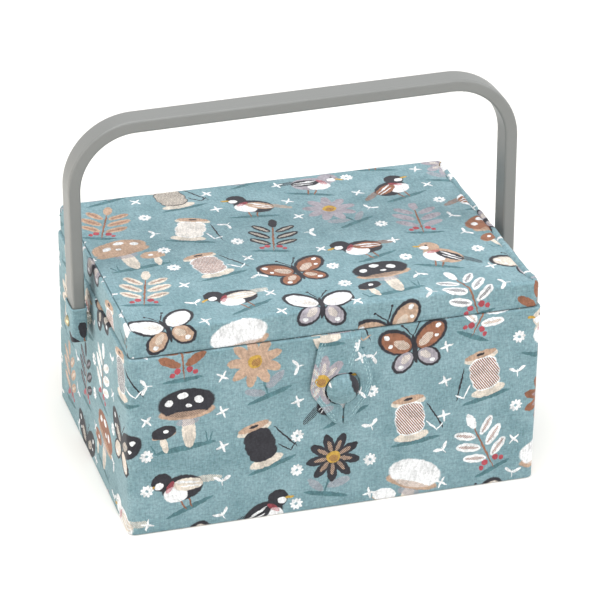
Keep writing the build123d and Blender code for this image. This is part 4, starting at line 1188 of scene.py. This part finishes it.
def make_leg(name, outer, inner, depth, thickness, lift, start):
    """One leg of the loop: a folded strip between two edges, rounded along both folds, with its own print."""
    count, around = 84, 25
    outer = evenly(smooth_curve(outer, 120), count)
    inner = evenly(smooth_curve(inner, 160), count)
    points, prints, edges = [], [], ([], [], [], [])
    top = LID_FOOT - 0.2
    half_ring = [0.5 - 0.5 * math.cos(math.pi * k / (around - 1)) for k in range(around)]
    ring = [(s, 1.0) for s in half_ring] + [(s, -1.0) for s in half_ring[-2:0:-1]]
    for i in range(count):
        a, b = outer[i], inner[i]
        wide = (b - a).length
        share_down = i / (count - 1)
        row, marks = [], []
        for s, face in ring:
            at = a.lerp(b, s)
            from_edge = min(s, 1 - s) * wide
            full = math.sqrt(max(0.0, 1 - (1 - min(from_edge / 0.8, 1.0)) ** 2))
            over_edge = ease(at.y, 0.0, 2.8)
            thick = thickness * (0.4 + 0.6 * over_edge)
            out = depth + thick * (0.5 + 0.5 * face * full) + face * full * 0.12 * over_edge
            if face > 0:
                for inset, deep in ((STITCH_INSET, 0.2), (STITCH_INSET + STITCH_ROWS, 0.16)):
                    out -= full * deep * math.exp(-(((from_edge - inset) / 0.4) ** 2))
                out += 0.3 * drift((at.x, at.y, depth * 9), 9.0, 2.0) * over_edge
            out += rise_between(s) * over_edge * (1 if face > 0 else 0.25) + lift(share_down, s)
            row.append((at.x, -BACK - out + 2.3 * (1 - over_edge) ** 2, top - at.y))
            marks.append((at.x + start[0], start[1] - at.y))
        marks.append(marks[0])
        points.append(row)
        prints.append(marks)
        rows = (STITCH_INSET / wide, (STITCH_INSET + STITCH_ROWS) / wide)
        for line, s in zip(edges, (*rows, 1 - rows[0], 1 - rows[1])):
            at = a.lerp(b, s)
            out = depth + thickness - 0.1 + rise_between(s) + lift(share_down, s)
            out += 0.3 * drift((at.x, at.y, depth * 9), 9.0, 2.0)
            line.append(Vector((at.x, -BACK - out, top - at.y)))
    return sheet_mesh(name, points, prints, closed=True, caps=True), edges


def rise_between(s):
    """How the strip swells between its two edges."""
    return 0.35 * math.sin(math.pi * s)


def outwards_again(piece):
    """Turns every face of a closed piece outwards and shades it smooth."""
    bm = bmesh.new()
    bm.from_mesh(piece.data)
    bmesh.ops.recalc_face_normals(bm, faces=bm.faces)
    bm.to_mesh(piece.data)
    bm.free()
    for polygon in piece.data.polygons:
        polygon.use_smooth = True


def joined(name, pieces):
    """Joins pieces into the first and names it."""
    bm = bmesh.new()
    for piece in pieces:
        bm.from_mesh(piece.data)
    mesh = bpy.data.meshes.new(name)
    bm.to_mesh(mesh)
    bm.free()
    for piece in pieces:
        bpy.data.objects.remove(piece)
    whole = bpy.data.objects.new(name, mesh)
    bpy.context.scene.collection.objects.link(whole)
    return whole


def make_closure_loop(material):
    """Strip of cloth, top-stitched along both edges, that crosses itself and is nipped below the button."""
    low, high = corners_of("button_dome")
    middle = ((low.x + high.x) / 2, LID_FOOT - 0.2 - (low.z + high.z) / 2)
    radius = (high.x - low.x) / 2 + 0.8
    slit, tip = 0.45, 61.0
    left_arc = hole_arc(middle, radius, 70, 262, 12)
    left_inner = [*FRONT_LEG_INNER, *left_arc, (3.6 - slit, 52.0), (3.5 - slit, tip)]
    right_arc = hole_arc(middle, radius, 52, -76, 11, 1.0)
    right_inner = [*BACK_LEG_INNER, *right_arc, (3.8 + slit, 52.0), (3.7 + slit, tip)]

    def front_lift(down, across):
        """The front leg lies on the back one at the top, and sinks to the wall beside the button."""
        inner_side = 0.5 * ease(down, 0.62, 0.8) * across * (1 - ease(down, 0.85, 1))
        return 1.25 - 1.0 * ease(down, 0.42, 0.7) + inner_side

    def back_lift(down, across):
        """The back leg swells out where it comes from under the front one."""
        return 0.25 * math.sin(math.pi * min(1.0, down * 1.2)) + 0.35 * ease(down, 0.55, 0.8) * across

    front, front_edges = make_leg("front_leg", LOOP_LEFT, left_inner, 0.3, 1.0, front_lift, FRONT_LEG_PRINT)
    back, back_edges = make_leg("back_leg", LOOP_RIGHT, right_inner, 0.3, 0.9, back_lift, BACK_LEG_PRINT)
    piece = joined("closure_strip", [front, back])
    outwards_again(piece)
    dress(piece, material, "loop", "printed_cloth", "closure_loop")
    seams = [front_edges[0][4:-6], front_edges[1][4:-10], front_edges[2][4:26], front_edges[3][4:24]]
    seams += [back_edges[0][20:-8], back_edges[1][22:-10]]
    sewn_stitches("closure_strip_stitches", seams, (0, -1, 0), "loop")
    return piece


# Thickness of the printed cloth where it is drawn tight over the button and the handle, and of the lining
THIN_CLOTH = 0.5
LINING_CLOTH = 0.4


def make_button(material):
    """Cloth drawn over a domed shell and gathered behind its rim."""
    low, high = corners_of("button_dome")
    middle = Vector(((low.x + high.x) / 2, high.y, (low.z + high.z) / 2))
    radius, tall = (high.x - low.x) / 2, high.y - low.y
    dome_edge, dome_fall = 0.72, 0.29
    profile = [(share, 1 - dome_fall * (share / dome_edge) ** 2) for share in spread(0.08, dome_edge, 7)]
    profile += [(0.82, 0.615), (0.9, 0.5), (0.96, 0.37), (0.99, 0.25)]
    profile += [(0.985, 0.14), (0.95, 0.05), (0.86, 0.0), (0.7, 0.01)]
    points, prints, around = [], [], 72
    for reach, rise in profile:
        row, marks = [], []
        for k in range(around):
            turn = 2 * math.pi * k / around
            gather = 0.16 * ease(reach, 0.93, 1.0) * (1 - rise)
            gather *= math.cos(turn * 26 + 2 * math.sin(turn * 3))
            x = middle.x + (radius * reach + gather) * math.cos(turn)
            z = middle.z + (radius * reach + gather) * math.sin(turn)
            y = middle.y - tall * rise + 0.08 * drift((x, rise * 9, z), 6.0, 6.0)
            row.append((x, y, z))
            marks.append((x + BUTTON_PRINT[0], z + BUTTON_PRINT[1]))
        marks.append(marks[0])
        points.append(row)
        prints.append(marks)
    piece = sheet_mesh("covered_button", points, prints, closed=True)
    bm = bmesh.new()
    bm.from_mesh(piece.data)
    bm.verts.ensure_lookup_table()
    first_ring = [bm.verts[k] for k in range(around)]
    crown = bm.verts.new(Vector((middle.x, middle.y - tall, middle.z)) * MM)
    layer = bm.loops.layers.uv[PRINT_MAP]
    for k in range(around):
        face = bm.faces.new((crown, first_ring[(k + 1) % around], first_ring[k]))
        face.smooth = True
        for loop in face.loops:
            loop[layer].uv = (loop.vert.co.x / MM + BUTTON_PRINT[0], loop.vert.co.z / MM + BUTTON_PRINT[1])
    bmesh.ops.recalc_face_normals(bm, faces=bm.faces)
    bm.to_mesh(piece.data)
    bm.free()
    face_outwards(piece, (0, -1, 0))
    thicken(piece, THIN_CLOTH * MM)
    dress(piece, material, "box_body", "printed_cloth", "button_dome")
    return piece


def make_sleeve(material, name, replaced):
    """Cloth sleeve over one end of the handle, with a turned hem at its top and its foot folded shut."""
    low, high = corners_of(replaced)
    middle = (low + high) / 2
    half = (high - low) / 2
    rivet = frame["joints"][1]["pos_m"][2] / MM
    hem = 2.2
    rows = [(low.z + 0.05, -2.6), (low.z + 0.1, -1.3), (low.z + 0.7, -0.35)]
    rows += [(z, -0.3) for z in spread(low.z + 1.6, high.z - hem - 0.5, 18)]
    rows += [(high.z - hem - 0.15, -0.22), (high.z - hem + 0.2, 0.0), (high.z - hem / 2, 0.12)]
    rows += [(high.z - 0.3, 0.05), (high.z, -0.3), (high.z - 0.1, -0.85), (high.z - 1.5, -1.0)]
    around = 56
    squareness = 0.28
    points, prints = [], []
    for z, grow in rows:
        row, marks, length = [], [], 0.0
        for k in range(around + 1):
            turn = 2 * math.pi * k / around
            cx, sy = math.cos(turn), math.sin(turn)
            x = math.copysign(abs(cx) ** squareness, cx) * (half.x + grow)
            y = math.copysign(abs(sy) ** squareness, sy) * (half.y + grow)
            near = math.exp(-((z - rivet) / 5.0) ** 2 - (y / 6.0) ** 2)
            pulled = ease(high.z - hem - z, 0.0, 3.0) * ease(z, low.z + 1, low.z + 4)
            out = pulled * (0.3 * drift((middle.x + x, y, z), 7.0, 3.0) - 0.45 * near)
            crease = math.exp(-((z - rivet - 0.35 * (y + 3)) / 0.9) ** 2) * ease(abs(y), 2, 5)
            out -= 0.3 * pulled * crease
            x += math.copysign(out, x) if abs(x) > half.x * 0.8 else 0.0
            y += math.copysign(out, y) if abs(y) > half.y * 0.8 else 0.0
            if row:
                length += math.dist(row[-1][:2], (middle.x + x, middle.y + y))
            if k < around:
                row.append((middle.x + x, middle.y + y, z))
            marks.append((length + middle.x, z + SLEEVE_PRINT))
        points.append(row)
        prints.append(marks)
    piece = sheet_mesh(name, points, prints, closed=True)
    bm = bmesh.new()
    bm.from_mesh(piece.data)
    bm.verts.ensure_lookup_table()
    foot = bm.faces.new([bm.verts[k] for k in range(around)])
    layer = bm.loops.layers.uv[PRINT_MAP]
    for loop in foot.loops:
        loop[layer].uv = (loop.vert.co.x / MM, loop.vert.co.y / MM)
    bmesh.ops.recalc_face_normals(bm, faces=bm.faces)
    bm.to_mesh(piece.data)
    bm.free()
    thicken(piece, THIN_CLOTH * MM)
    dress(piece, material, "handle", "printed_cloth", replaced)
    return piece


def lining_ring(name, node, body, plan, material):
    """Plain cloth glued round the inside of the walls or of the lid's rim."""
    low, high = corners_of(node)
    inset = plan[0] - high.x
    plan = (*plan[:3], BOARD_CORNER)
    samples = along_outline(plan, 40.0, 8.0, 6.0)
    heights = spread(low.z + 0.1, high.z - 0.05, 14)
    points, prints = [], []
    for z in heights:
        row, marks = [], []
        for sample in samples:
            hold = ease(min(z - low.z, high.z - z), 0.0, 4.0)
            inwards = inset + 0.35 + 0.3 * hold * (0.5 + drift((sample[4], z, inset), 22.0, 2.0))
            x, y = outline_at(plan, sample, inwards)
            row.append((x, y, z))
            marks.append((sample[4], z))
        points.append(row)
        prints.append(marks)
    piece = sheet_mesh(name, points, prints)
    for polygon in piece.data.polygons:
        if polygon.center.y < -0.05:
            if polygon.normal.y < 0:
                piece.data.flip_normals()
            break
    thicken(piece, LINING_CLOTH * MM)
    dress(piece, material, body, "lining_cloth", node)
    return piece


def padded_panel(name, node, body, material, slot, up, swell, highest=None, narrower=0.0):
    """Padded panel with soft edges: its face rises in the middle and is drawn in at its rim.

    A function of the place can hold it down, and it can be narrower than its node on both sides.
    """
    low, high = corners_of(node)
    middle = (low + high) / 2
    half = (high - low) / 2
    half.x -= narrower
    flat_z, face_z = (low.z, high.z) if up > 0 else (high.z, low.z)
    tall = face_z - flat_z
    rings = [(0.0, 0.02), (0.15, 0.03), (0.25, 0.4), (0.35, 0.72), (1.2, 0.95), (4.0, 1.0)]
    count_x, count_y = 48, 36

    def outline(inset):
        """Rounded rectangle inside the panel's edge, with as many points on every ring."""
        corner = max(4.0 - inset, 0.5)
        wide, deep = half.x - inset - corner, half.y - inset - corner
        line = [(x, -deep - corner) for x in spread(-wide, wide, count_x)]
        line += [(wide + corner * math.sin(a), -deep - corner * math.cos(a)) for a in (0.5, 1.07)]
        line += [(wide + corner, y) for y in spread(-deep, deep, count_y)]
        line += [(wide + corner * math.cos(a), deep + corner * math.sin(a)) for a in (0.5, 1.07)]
        line += [(x, deep + corner) for x in spread(wide, -wide, count_x)]
        line += [(-wide - corner * math.sin(a), deep + corner * math.cos(a)) for a in (0.5, 1.07)]
        line += [(-wide - corner, y) for y in spread(deep, -deep, count_y)]
        line += [(-wide - corner * math.cos(a), -deep - corner * math.sin(a)) for a in (0.5, 1.07)]
        return line

    insets = [r[0] for r in rings] + [half.y * s for s in (0.2, 0.4, 0.6, 0.8, 0.97)]
    points, prints = [], []
    for index, inset in enumerate(insets):
        rise = rings[index][1] if index < len(rings) else 1.0
        row, marks = [], []
        for x, y in outline(inset):
            soft = swell * ease(inset, 0.3, 12.0) * (drift((x, y, low.z), 24.0, 6.0) - 0.4)
            z = flat_z + tall * rise + (soft if up > 0 else -soft)
            if highest:
                z = max(flat_z + 0.1 * rise, min(z, highest(middle.x + x, middle.y + y)))
            row.append((middle.x + x, middle.y + y, z))
            marks.append((x, y))
        marks.append(marks[0])
        points.append(row)
        prints.append(marks)
    piece = sheet_mesh(name, points, prints, closed=True, caps=True)
    outwards_again(piece)
    dress(piece, material, body, slot, node)
    return piece


# How close to the seam the pincushion is held while it is stuffed, how far its cloth may move, and the number
# of steps of the stuffing
SEAM_HELD = 1.2
STUFFING_MOVE = 0.8
STUFFING_STEPS = 20


def blown_cushion(piece, seam_side, limit):
    """Blows the cushion up with the cloth solver, holding its seam, and keeps the result within a limit."""
    start = np.array([v.co for v in piece.data.vertices])
    group = piece.vertex_groups.new(name="seam")
    group.add([i for i, c in enumerate(start) if abs(c[2] - seam_side) < SEAM_HELD * MM], 1.0, "REPLACE")
    cloth = piece.modifiers.new("cloth", "CLOTH")
    cloth.settings.use_pressure = True
    cloth.settings.uniform_pressure_force = 4.0
    cloth.settings.effector_weights.gravity = 0.0
    cloth.settings.vertex_group_mass = "seam"
    cloth.settings.tension_stiffness = 12.0
    cloth.settings.compression_stiffness = 12.0
    cloth.point_cache.frame_start, cloth.point_cache.frame_end = 1, STUFFING_STEPS
    scene = bpy.context.scene
    for step in range(1, STUFFING_STEPS + 1):
        scene.frame_set(step)
    graph = bpy.context.evaluated_depsgraph_get()
    ended = np.array([v.co for v in piece.evaluated_get(graph).data.vertices])
    scene.frame_set(1)
    piece.modifiers.remove(cloth)
    moved = ended - start
    reach = np.linalg.norm(moved, axis=1, keepdims=True)
    moved *= np.minimum(1.0, limit / np.maximum(reach, 1e-9))
    piece.data.vertices.foreach_set("co", (start + moved).ravel())
    piece.data.update()


def make_pincushion(material):
    """Stuffed pad on the lid's lining, pulled in along its seam and swollen by its stuffing."""
    low, high = corners_of("pincushion")
    middle = (low + high) / 2
    half = (high - low) / 2
    tall = high.z - low.z
    around = 96
    rings = [(0.95, 0.0), (0.985, 0.1), (1.0, 0.22), (0.995, 0.34), (0.97, 0.5), (0.9, 0.66), (0.78, 0.78),
             (0.62, 0.86), (0.45, 0.91), (0.28, 0.94), (0.12, 0.95)]
    points, prints = [], []
    for share, rise in rings:
        row, marks = [], []
        for k in range(around):
            turn = 2 * math.pi * k / around
            power = 0.42 + 0.5 * (1 - share)
            cx, sy = math.cos(turn), math.sin(turn)
            x = math.copysign(abs(cx) ** power, cx) * (half.x - 0.6) * share
            y = math.copysign(abs(sy) ** power, sy) * (half.y - 0.6) * share
            pucker = 0.25 * math.cos(turn * 34) * ease(rise, 0.02, 0.12) * (1 - ease(rise, 0.2, 0.6))
            drawn_x, drawn_y = x * (1 + pucker / half.x), y * (1 + pucker / half.y)
            row.append((middle.x + drawn_x, middle.y + drawn_y, high.z - tall * rise))
            marks.append((x * 1.05, y * 1.05))
        marks.append(marks[0])
        points.append(row)
        prints.append(marks)
    piece = sheet_mesh("pincushion_pad", points, prints, closed=True, caps=True)
    bm = bmesh.new()
    bm.from_mesh(piece.data)
    bmesh.ops.recalc_face_normals(bm, faces=bm.faces)
    bmesh.ops.triangulate(bm, faces=[f for f in bm.faces if len(f.verts) > 4])
    bm.to_mesh(piece.data)
    bm.free()
    blown_cushion(piece, high.z * MM, STUFFING_MOVE * MM)
    smooth = piece.modifiers.new("smooth", "SUBSURF")
    smooth.levels = smooth.render_levels = 1
    for polygon in piece.data.polygons:
        polygon.use_smooth = True
    dress(piece, material, "lid", "pincushion_cloth", "pincushion")
    return piece


def make_pocket(cloth_material, elastic_material):
    """Gathered pouch on the lid's lining, with its mouth on a covered elastic."""
    low, high = corners_of("lid_pocket_pouch")
    band_low, band_high = corners_of("lid_pocket_elastic")
    wide = high.x - low.x
    middle_x = (low.x + high.x) / 2
    count = sizes().gathers
    points, prints = [], []
    for y in spread(low.y, high.y, 34):
        row, marks = [], []
        mouth = 1 - ease(y, low.y, high.y - 12)
        for k in range(count * 8 + 1):
            share = k / (count * 8)
            x = middle_x - wide / 2 + wide * share
            side_edge = ease(min(share, 1 - share) * wide, 0, 5)
            back_edge = ease(high.y - y, 0, 6)
            fold = math.cos(2 * math.pi * count * share + 1.4 * drift((x, y, 0), 30.0, 3.0))
            deep = 0.62 * mouth**1.5 * fold + 0.5 * drift((x, y * 0.4, 5), 12.0, 7.0) * back_edge
            full = 0.45 + 0.4 * side_edge * back_edge * (1 - 0.55 * mouth)
            bulge = (high.z - low.z - 1.0) * full + deep * 0.8
            row.append((x, y, high.z - max(0.35, bulge * side_edge * max(back_edge, 0.12) + 0.3)))
            marks.append(((x - middle_x) * 1.25, y))
        points.append(row)
        prints.append(marks)
    pouch = sheet_mesh("pocket_pouch", points, prints)
    face_outwards(pouch, (0, 0, -1))
    thicken(pouch, LINING_CLOTH * MM)
    dress(pouch, cloth_material, "lid", "lining_cloth", "lid_pocket_pouch")
    points, prints = [], []
    around = 16
    tall, deep = band_high.z - band_low.z, band_high.y - band_low.y
    middle_y, middle_z = (band_low.y + band_high.y) / 2, (band_low.z + band_high.z) / 2
    for share in spread(0.0, 1.0, count * 6 + 1):
        x = band_low.x + (band_high.x - band_low.x) * share
        row, marks = [], []
        for k in range(around):
            turn = 2 * math.pi * k / around
            cx, sy = math.cos(turn), math.sin(turn)
            y = math.copysign(abs(cx) ** 0.5, cx) * deep / 2
            z = math.copysign(abs(sy) ** 0.7, sy) * (tall / 2 - 0.12)
            fold = 0.13 * math.cos(2 * math.pi * count * 1.5 * share + 0.6 * math.sin(y))
            row.append((x, middle_y + y * 0.97, middle_z + z + (fold if sy < 0 else 0)))
            marks.append((x * 1.6, k * 1.2))
        marks.append((x * 1.6, around * 1.2))
        points.append(row)
        prints.append(marks)
    band = sheet_mesh("pocket_elastic", points, prints, closed=True, caps=True)
    outwards_again(band)
    dress(band, elastic_material, "lid", "elastic", "lid_pocket_elastic")
    return pouch, band


def give(material, *nodes):
    """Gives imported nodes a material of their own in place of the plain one."""
    for node in nodes:
        mesh = NODES[node].data
        mesh.materials.clear()
        mesh.materials.append(material)


# Studio

# Light that the paper gives off by itself, half its width in metres, and the even light of the room
FLOOR_LIFT = 0.07
FLOOR_HALF = 4.0
ROOM_LIGHT = 0.58
# The photograph's camera, in millimetres and degrees
CAMERA_PLACE = Vector((-515.5, -1662.4, 1007.9))
CAMERA_AZIMUTH = -17.36
CAMERA_ELEVATION = 27.56
CAMERA_ROLL = 0.895
LENS = 184.1
FILM = 36.0


def photo_camera():
    """Long-lens camera at the photograph's place."""
    azimuth, elevation, roll = (math.radians(a) for a in (CAMERA_AZIMUTH, CAMERA_ELEVATION, CAMERA_ROLL))
    back = Vector((math.sin(azimuth) * math.cos(elevation), -math.cos(azimuth) * math.cos(elevation),
                   math.sin(elevation)))
    right = (-back).cross(Vector((0, 0, 1))).normalized()
    up = right.cross(-back)
    rolled = math.cos(roll) * right + math.sin(roll) * up
    upright = math.cos(roll) * up - math.sin(roll) * right
    data = bpy.data.cameras.new("photo_camera")
    data.lens, data.sensor_width = LENS, FILM
    data.clip_start, data.clip_end = 0.05, 30.0
    camera = bpy.data.objects.new("photo_camera", data)
    turn = Matrix((rolled, upright, back)).transposed().to_4x4()
    camera.matrix_world = Matrix.Translation(CAMERA_PLACE * MM) @ turn
    bpy.context.scene.collection.objects.link(camera)
    bpy.context.scene.camera = camera


def soft_box(name, place, aim, wide, tall, watts, tint):
    """Rectangular soft lamp or lit card at a place, facing its aim, in metres and watts."""
    data = bpy.data.lights.new(name, "AREA")
    data.shape, data.size, data.size_y, data.energy, data.color = "RECTANGLE", wide, tall, watts, tint
    lamp = bpy.data.objects.new(name, data)
    lamp.location = place
    lamp.rotation_euler = (Vector(aim) - Vector(place)).to_track_quat("-Z", "Y").to_euler()
    lamp.visible_camera = False
    bpy.context.scene.collection.objects.link(lamp)


def seen_directly(tree):
    """1 for what the camera, a mirror or glass sees, and 0 for light that falls on the object."""
    rays = tree.nodes.new("ShaderNodeLightPath").outputs
    first = put(tree, "Math", [rays["Is Camera Ray"], rays["Is Glossy Ray"]], operation="MAXIMUM")
    return put(tree, "Math", [first, rays["Is Transmission Ray"]], operation="MAXIMUM")


def white_world(strength):
    """World that is white behind the object and gives even light at the strength."""
    world = bpy.data.worlds.new("studio")
    world.use_nodes = True
    tree = world.node_tree
    tree.nodes.clear()
    level = put(tree, "MapRange", [seen_directly(tree), 0.0, 1.0, strength, 1.0])
    glow = put(tree, "Background", {"Color": (1.0, 1.0, 1.0, 1.0), "Strength": level})
    output = tree.nodes.new("ShaderNodeOutputWorld")
    tree.links.new(glow, output.inputs["Surface"])
    bpy.context.scene.world = world


def matt_paper_floor():
    """White seamless paper: matt, and lifted to white where nothing shades it, so only the shadow shows."""
    material, tree = new_material("matt_paper")
    paper = put(tree, "BsdfDiffuse", {"Color": rgba(from_hex("#f3f1ed")), "Roughness": 0.5})
    level = put(tree, "Math", [seen_directly(tree), FLOOR_LIFT], operation="MULTIPLY")
    lift = put(tree, "Emission", {"Color": (1.0, 1.0, 1.0, 1.0), "Strength": level})
    whole = put(tree, "AddShader", [paper, lift])
    output = tree.nodes.new("ShaderNodeOutputMaterial")
    tree.links.new(whole, output.inputs["Surface"])
    return material


def make_stage():
    """Floor, lamps, world and camera."""
    corners = [(-FLOOR_HALF, -FLOOR_HALF, 0), (FLOOR_HALF, -FLOOR_HALF, 0), (FLOOR_HALF, FLOOR_HALF, 0),
               (-FLOOR_HALF, FLOOR_HALF, 0)]
    floor = joined_mesh("paper_floor", [Vector(c) / MM for c in corners], [(0, 1, 2, 3)])
    floor.data.materials.append(matt_paper_floor())
    white_world(ROOM_LIGHT)
    middle = (0.0, 0.0, 0.1)
    cool, warm = (0.97, 0.99, 1.0), (1.0, 0.94, 0.86)
    soft_box("top_box", (-0.3, -0.3, 1.9), middle, 1.4, 1.4, 26.5, cool)
    soft_box("front_box", (0.6, -2.0, 0.9), middle, 1.4, 1.2, 9.1, cool)
    soft_box("left_box", (-1.5, -0.6, 0.7), middle, 0.9, 0.8, 5.0, warm)
    soft_box("right_box", (1.3, -0.5, 0.8), (0.25, 0.0, 0.0), 0.9, 0.9, 7.0, cool)
    soft_box("left_card", (-0.42, -0.02, 0.004), (-0.3, -0.02, 0.3), 0.36, 0.42, 1.7, warm)
    photo_camera()
    bpy.context.scene.view_settings.view_transform = "Standard"


# Operators


class SEWINGBOX_OT_materials(bpy.types.Operator):
    """Make the materials of the box"""

    bl_idname = "sewing_box.materials"
    bl_label = "Materials"

    def execute(self, context):
        printed_polycotton("printed_polycotton_body", (8.0, 16.0))
        printed_polycotton("printed_polycotton_lid", (131.0, 260.0))
        printed_polycotton("printed_polycotton_trim", (412.0, 97.0))
        plain_cotton("lining_cotton", colours().lining)
        plain_cotton("pincushion_cotton", colours().pincushion)
        plain_cotton("elastic_cotton", colours().ground, 0.7)
        lining_card("cotton_on_card", colours().lining)
        spun_polyester_thread()
        satin_moulded_abs()
        moulded_polystyrene()
        polished_brass()
        turned_nickel()
        zinc_plated_steel()
        greyboard()
        black_nonwoven()
        polyester_wadding()
        return {"FINISHED"}


class SEWINGBOX_OT_body(bpy.types.Operator):
    """Wrap the body in printed cloth and line it"""

    bl_idname = "sewing_box.body"
    bl_label = "Body"

    def execute(self, context):
        made = bpy.data.materials
        make_body_cover(made["printed_polycotton_body"])
        lining_ring("wall_lining", "body_wall_lining", "box_body", BODY_PLAN, made["lining_cotton"])
        cotton = made["lining_cotton"]
        padded_panel("floor_pad", "floor_lining_pad", "box_body", cotton, "lining_cloth", 1, 0.5)
        give(made["greyboard"], "body_wall_board", "base_board")
        give(made["black_nonwoven"], "underside_sheet")
        give(made["cotton_on_card"], "tray_ledge_front", "tray_ledge_back")
        return {"FINISHED"}


class SEWINGBOX_OT_lid(bpy.types.Operator):
    """Cover the lid, tuck its side bands and line its inside"""

    bl_idname = "sewing_box.lid"
    bl_label = "Lid"

    def execute(self, context):
        made = bpy.data.materials
        make_lid_cover(made["printed_polycotton_lid"])
        trim = made["printed_polycotton_trim"]
        for side, name in ((-1, "left"), (1, "right")):
            make_side_band(trim, side, "side_band_" + name, "lid_side_band_" + name)
        lining_ring("rim_lining", "lid_rim_lining", "lid", LID_PLAN, made["lining_cotton"])
        padded_panel("lid_panel", "lid_lining_panel", "lid", made["lining_cotton"], "lining_cloth", -1, 0.4)
        padded_panel("lid_wadding", "lid_wadding_pad", "lid", made["polyester_wadding"], "wadding", 1, 0.2,
                     under_the_cover, 3.2)
        give(made["greyboard"], "lid_rim_board", "lid_top_board")
        return {"FINISHED"}


class SEWINGBOX_OT_hinge(bpy.types.Operator):
    """Glue the cloth hinge across the back seam"""

    bl_idname = "sewing_box.hinge"
    bl_label = "Cloth hinge"

    def execute(self, context):
        make_hinge_cloth(bpy.data.materials["printed_polycotton_body"])
        return {"FINISHED"}


class SEWINGBOX_OT_closure(bpy.types.Operator):
    """Sew the loop and cover the button"""

    bl_idname = "sewing_box.closure"
    bl_label = "Loop and button"

    def execute(self, context):
        made = bpy.data.materials
        make_closure_loop(made["printed_polycotton_trim"])
        make_button(made["printed_polycotton_trim"])
        give(made["zinc_plated_steel"], "button_back", "button_anchor")
        return {"FINISHED"}


class SEWINGBOX_OT_handle(bpy.types.Operator):
    """Finish the handle, its sleeves and its rivets"""

    bl_idname = "sewing_box.handle"
    bl_label = "Handle"

    def execute(self, context):
        made = bpy.data.materials
        give(made["satin_moulded_abs"], "handle_bow")
        for name in ("left", "right"):
            make_sleeve(made["printed_polycotton_trim"], "sleeve_" + name, "handle_sleeve_" + name)
        give(made["polished_brass"], "pivot_rivet_left", "pivot_rivet_right")
        give(made["turned_nickel"], "pivot_spacer_left", "pivot_spacer_right")
        give(made["zinc_plated_steel"], "rivet_washer_left", "rivet_washer_right")
        return {"FINISHED"}


class SEWINGBOX_OT_inside(bpy.types.Operator):
    """Fit the tray, the pincushion and the pocket"""

    bl_idname = "sewing_box.inside"
    bl_label = "Inside"

    def execute(self, context):
        made = bpy.data.materials
        give(made["moulded_polystyrene"], "compartment_tray", "tray_grip")
        make_pincushion(made["pincushion_cotton"])
        make_pocket(made["lining_cotton"], made["elastic_cotton"])
        return {"FINISHED"}


class SEWINGBOX_OT_stage(bpy.types.Operator):
    """Set up the floor, the lamps and the camera"""

    bl_idname = "sewing_box.stage"
    bl_label = "Stage"

    def execute(self, context):
        make_stage()
        return {"FINISHED"}


OPERATORS = (
    SEWINGBOX_OT_materials,
    SEWINGBOX_OT_body,
    SEWINGBOX_OT_lid,
    SEWINGBOX_OT_hinge,
    SEWINGBOX_OT_closure,
    SEWINGBOX_OT_handle,
    SEWINGBOX_OT_inside,
    SEWINGBOX_OT_stage,
)


class SEWINGBOX_PT_sidebar(bpy.types.Panel):
    """Sizes, colours and steps of the sewing box"""

    bl_idname = "SEWINGBOX_PT_sidebar"
    bl_label = "Sewing Box"
    bl_space_type = "VIEW_3D"
    bl_region_type = "UI"
    bl_category = "Sewing Box"

    def draw(self, context):
        for group in (context.scene.sewing_box_sizes, context.scene.sewing_box_colours):
            column = self.layout.column(align=True)
            for name in group.__annotations__:
                column.prop(group, name)
        column = self.layout.column(align=True)
        for operator in OPERATORS:
            column.operator(operator.bl_idname)


CLASSES = (SewingBoxSizes, SewingBoxColours, *OPERATORS, SEWINGBOX_PT_sidebar)


def register():
    """Registers the classes and the scene's properties."""
    for cls in CLASSES:
        bpy.utils.register_class(cls)
    bpy.types.Scene.sewing_box_sizes = bpy.props.PointerProperty(type=SewingBoxSizes)
    bpy.types.Scene.sewing_box_colours = bpy.props.PointerProperty(type=SewingBoxColours)


def unregister():
    """Takes them away again."""
    del bpy.types.Scene.sewing_box_colours
    del bpy.types.Scene.sewing_box_sizes
    for cls in reversed(CLASSES):
        bpy.utils.unregister_class(cls)


def main():
    """Builds the looks, step by step."""
    register()
    bpy.ops.sewing_box.materials()
    bpy.ops.sewing_box.body()
    bpy.ops.sewing_box.lid()
    bpy.ops.sewing_box.hinge()
    bpy.ops.sewing_box.closure()
    bpy.ops.sewing_box.handle()
    bpy.ops.sewing_box.inside()
    bpy.ops.sewing_box.stage()


if __name__ == "__main__":
    main()
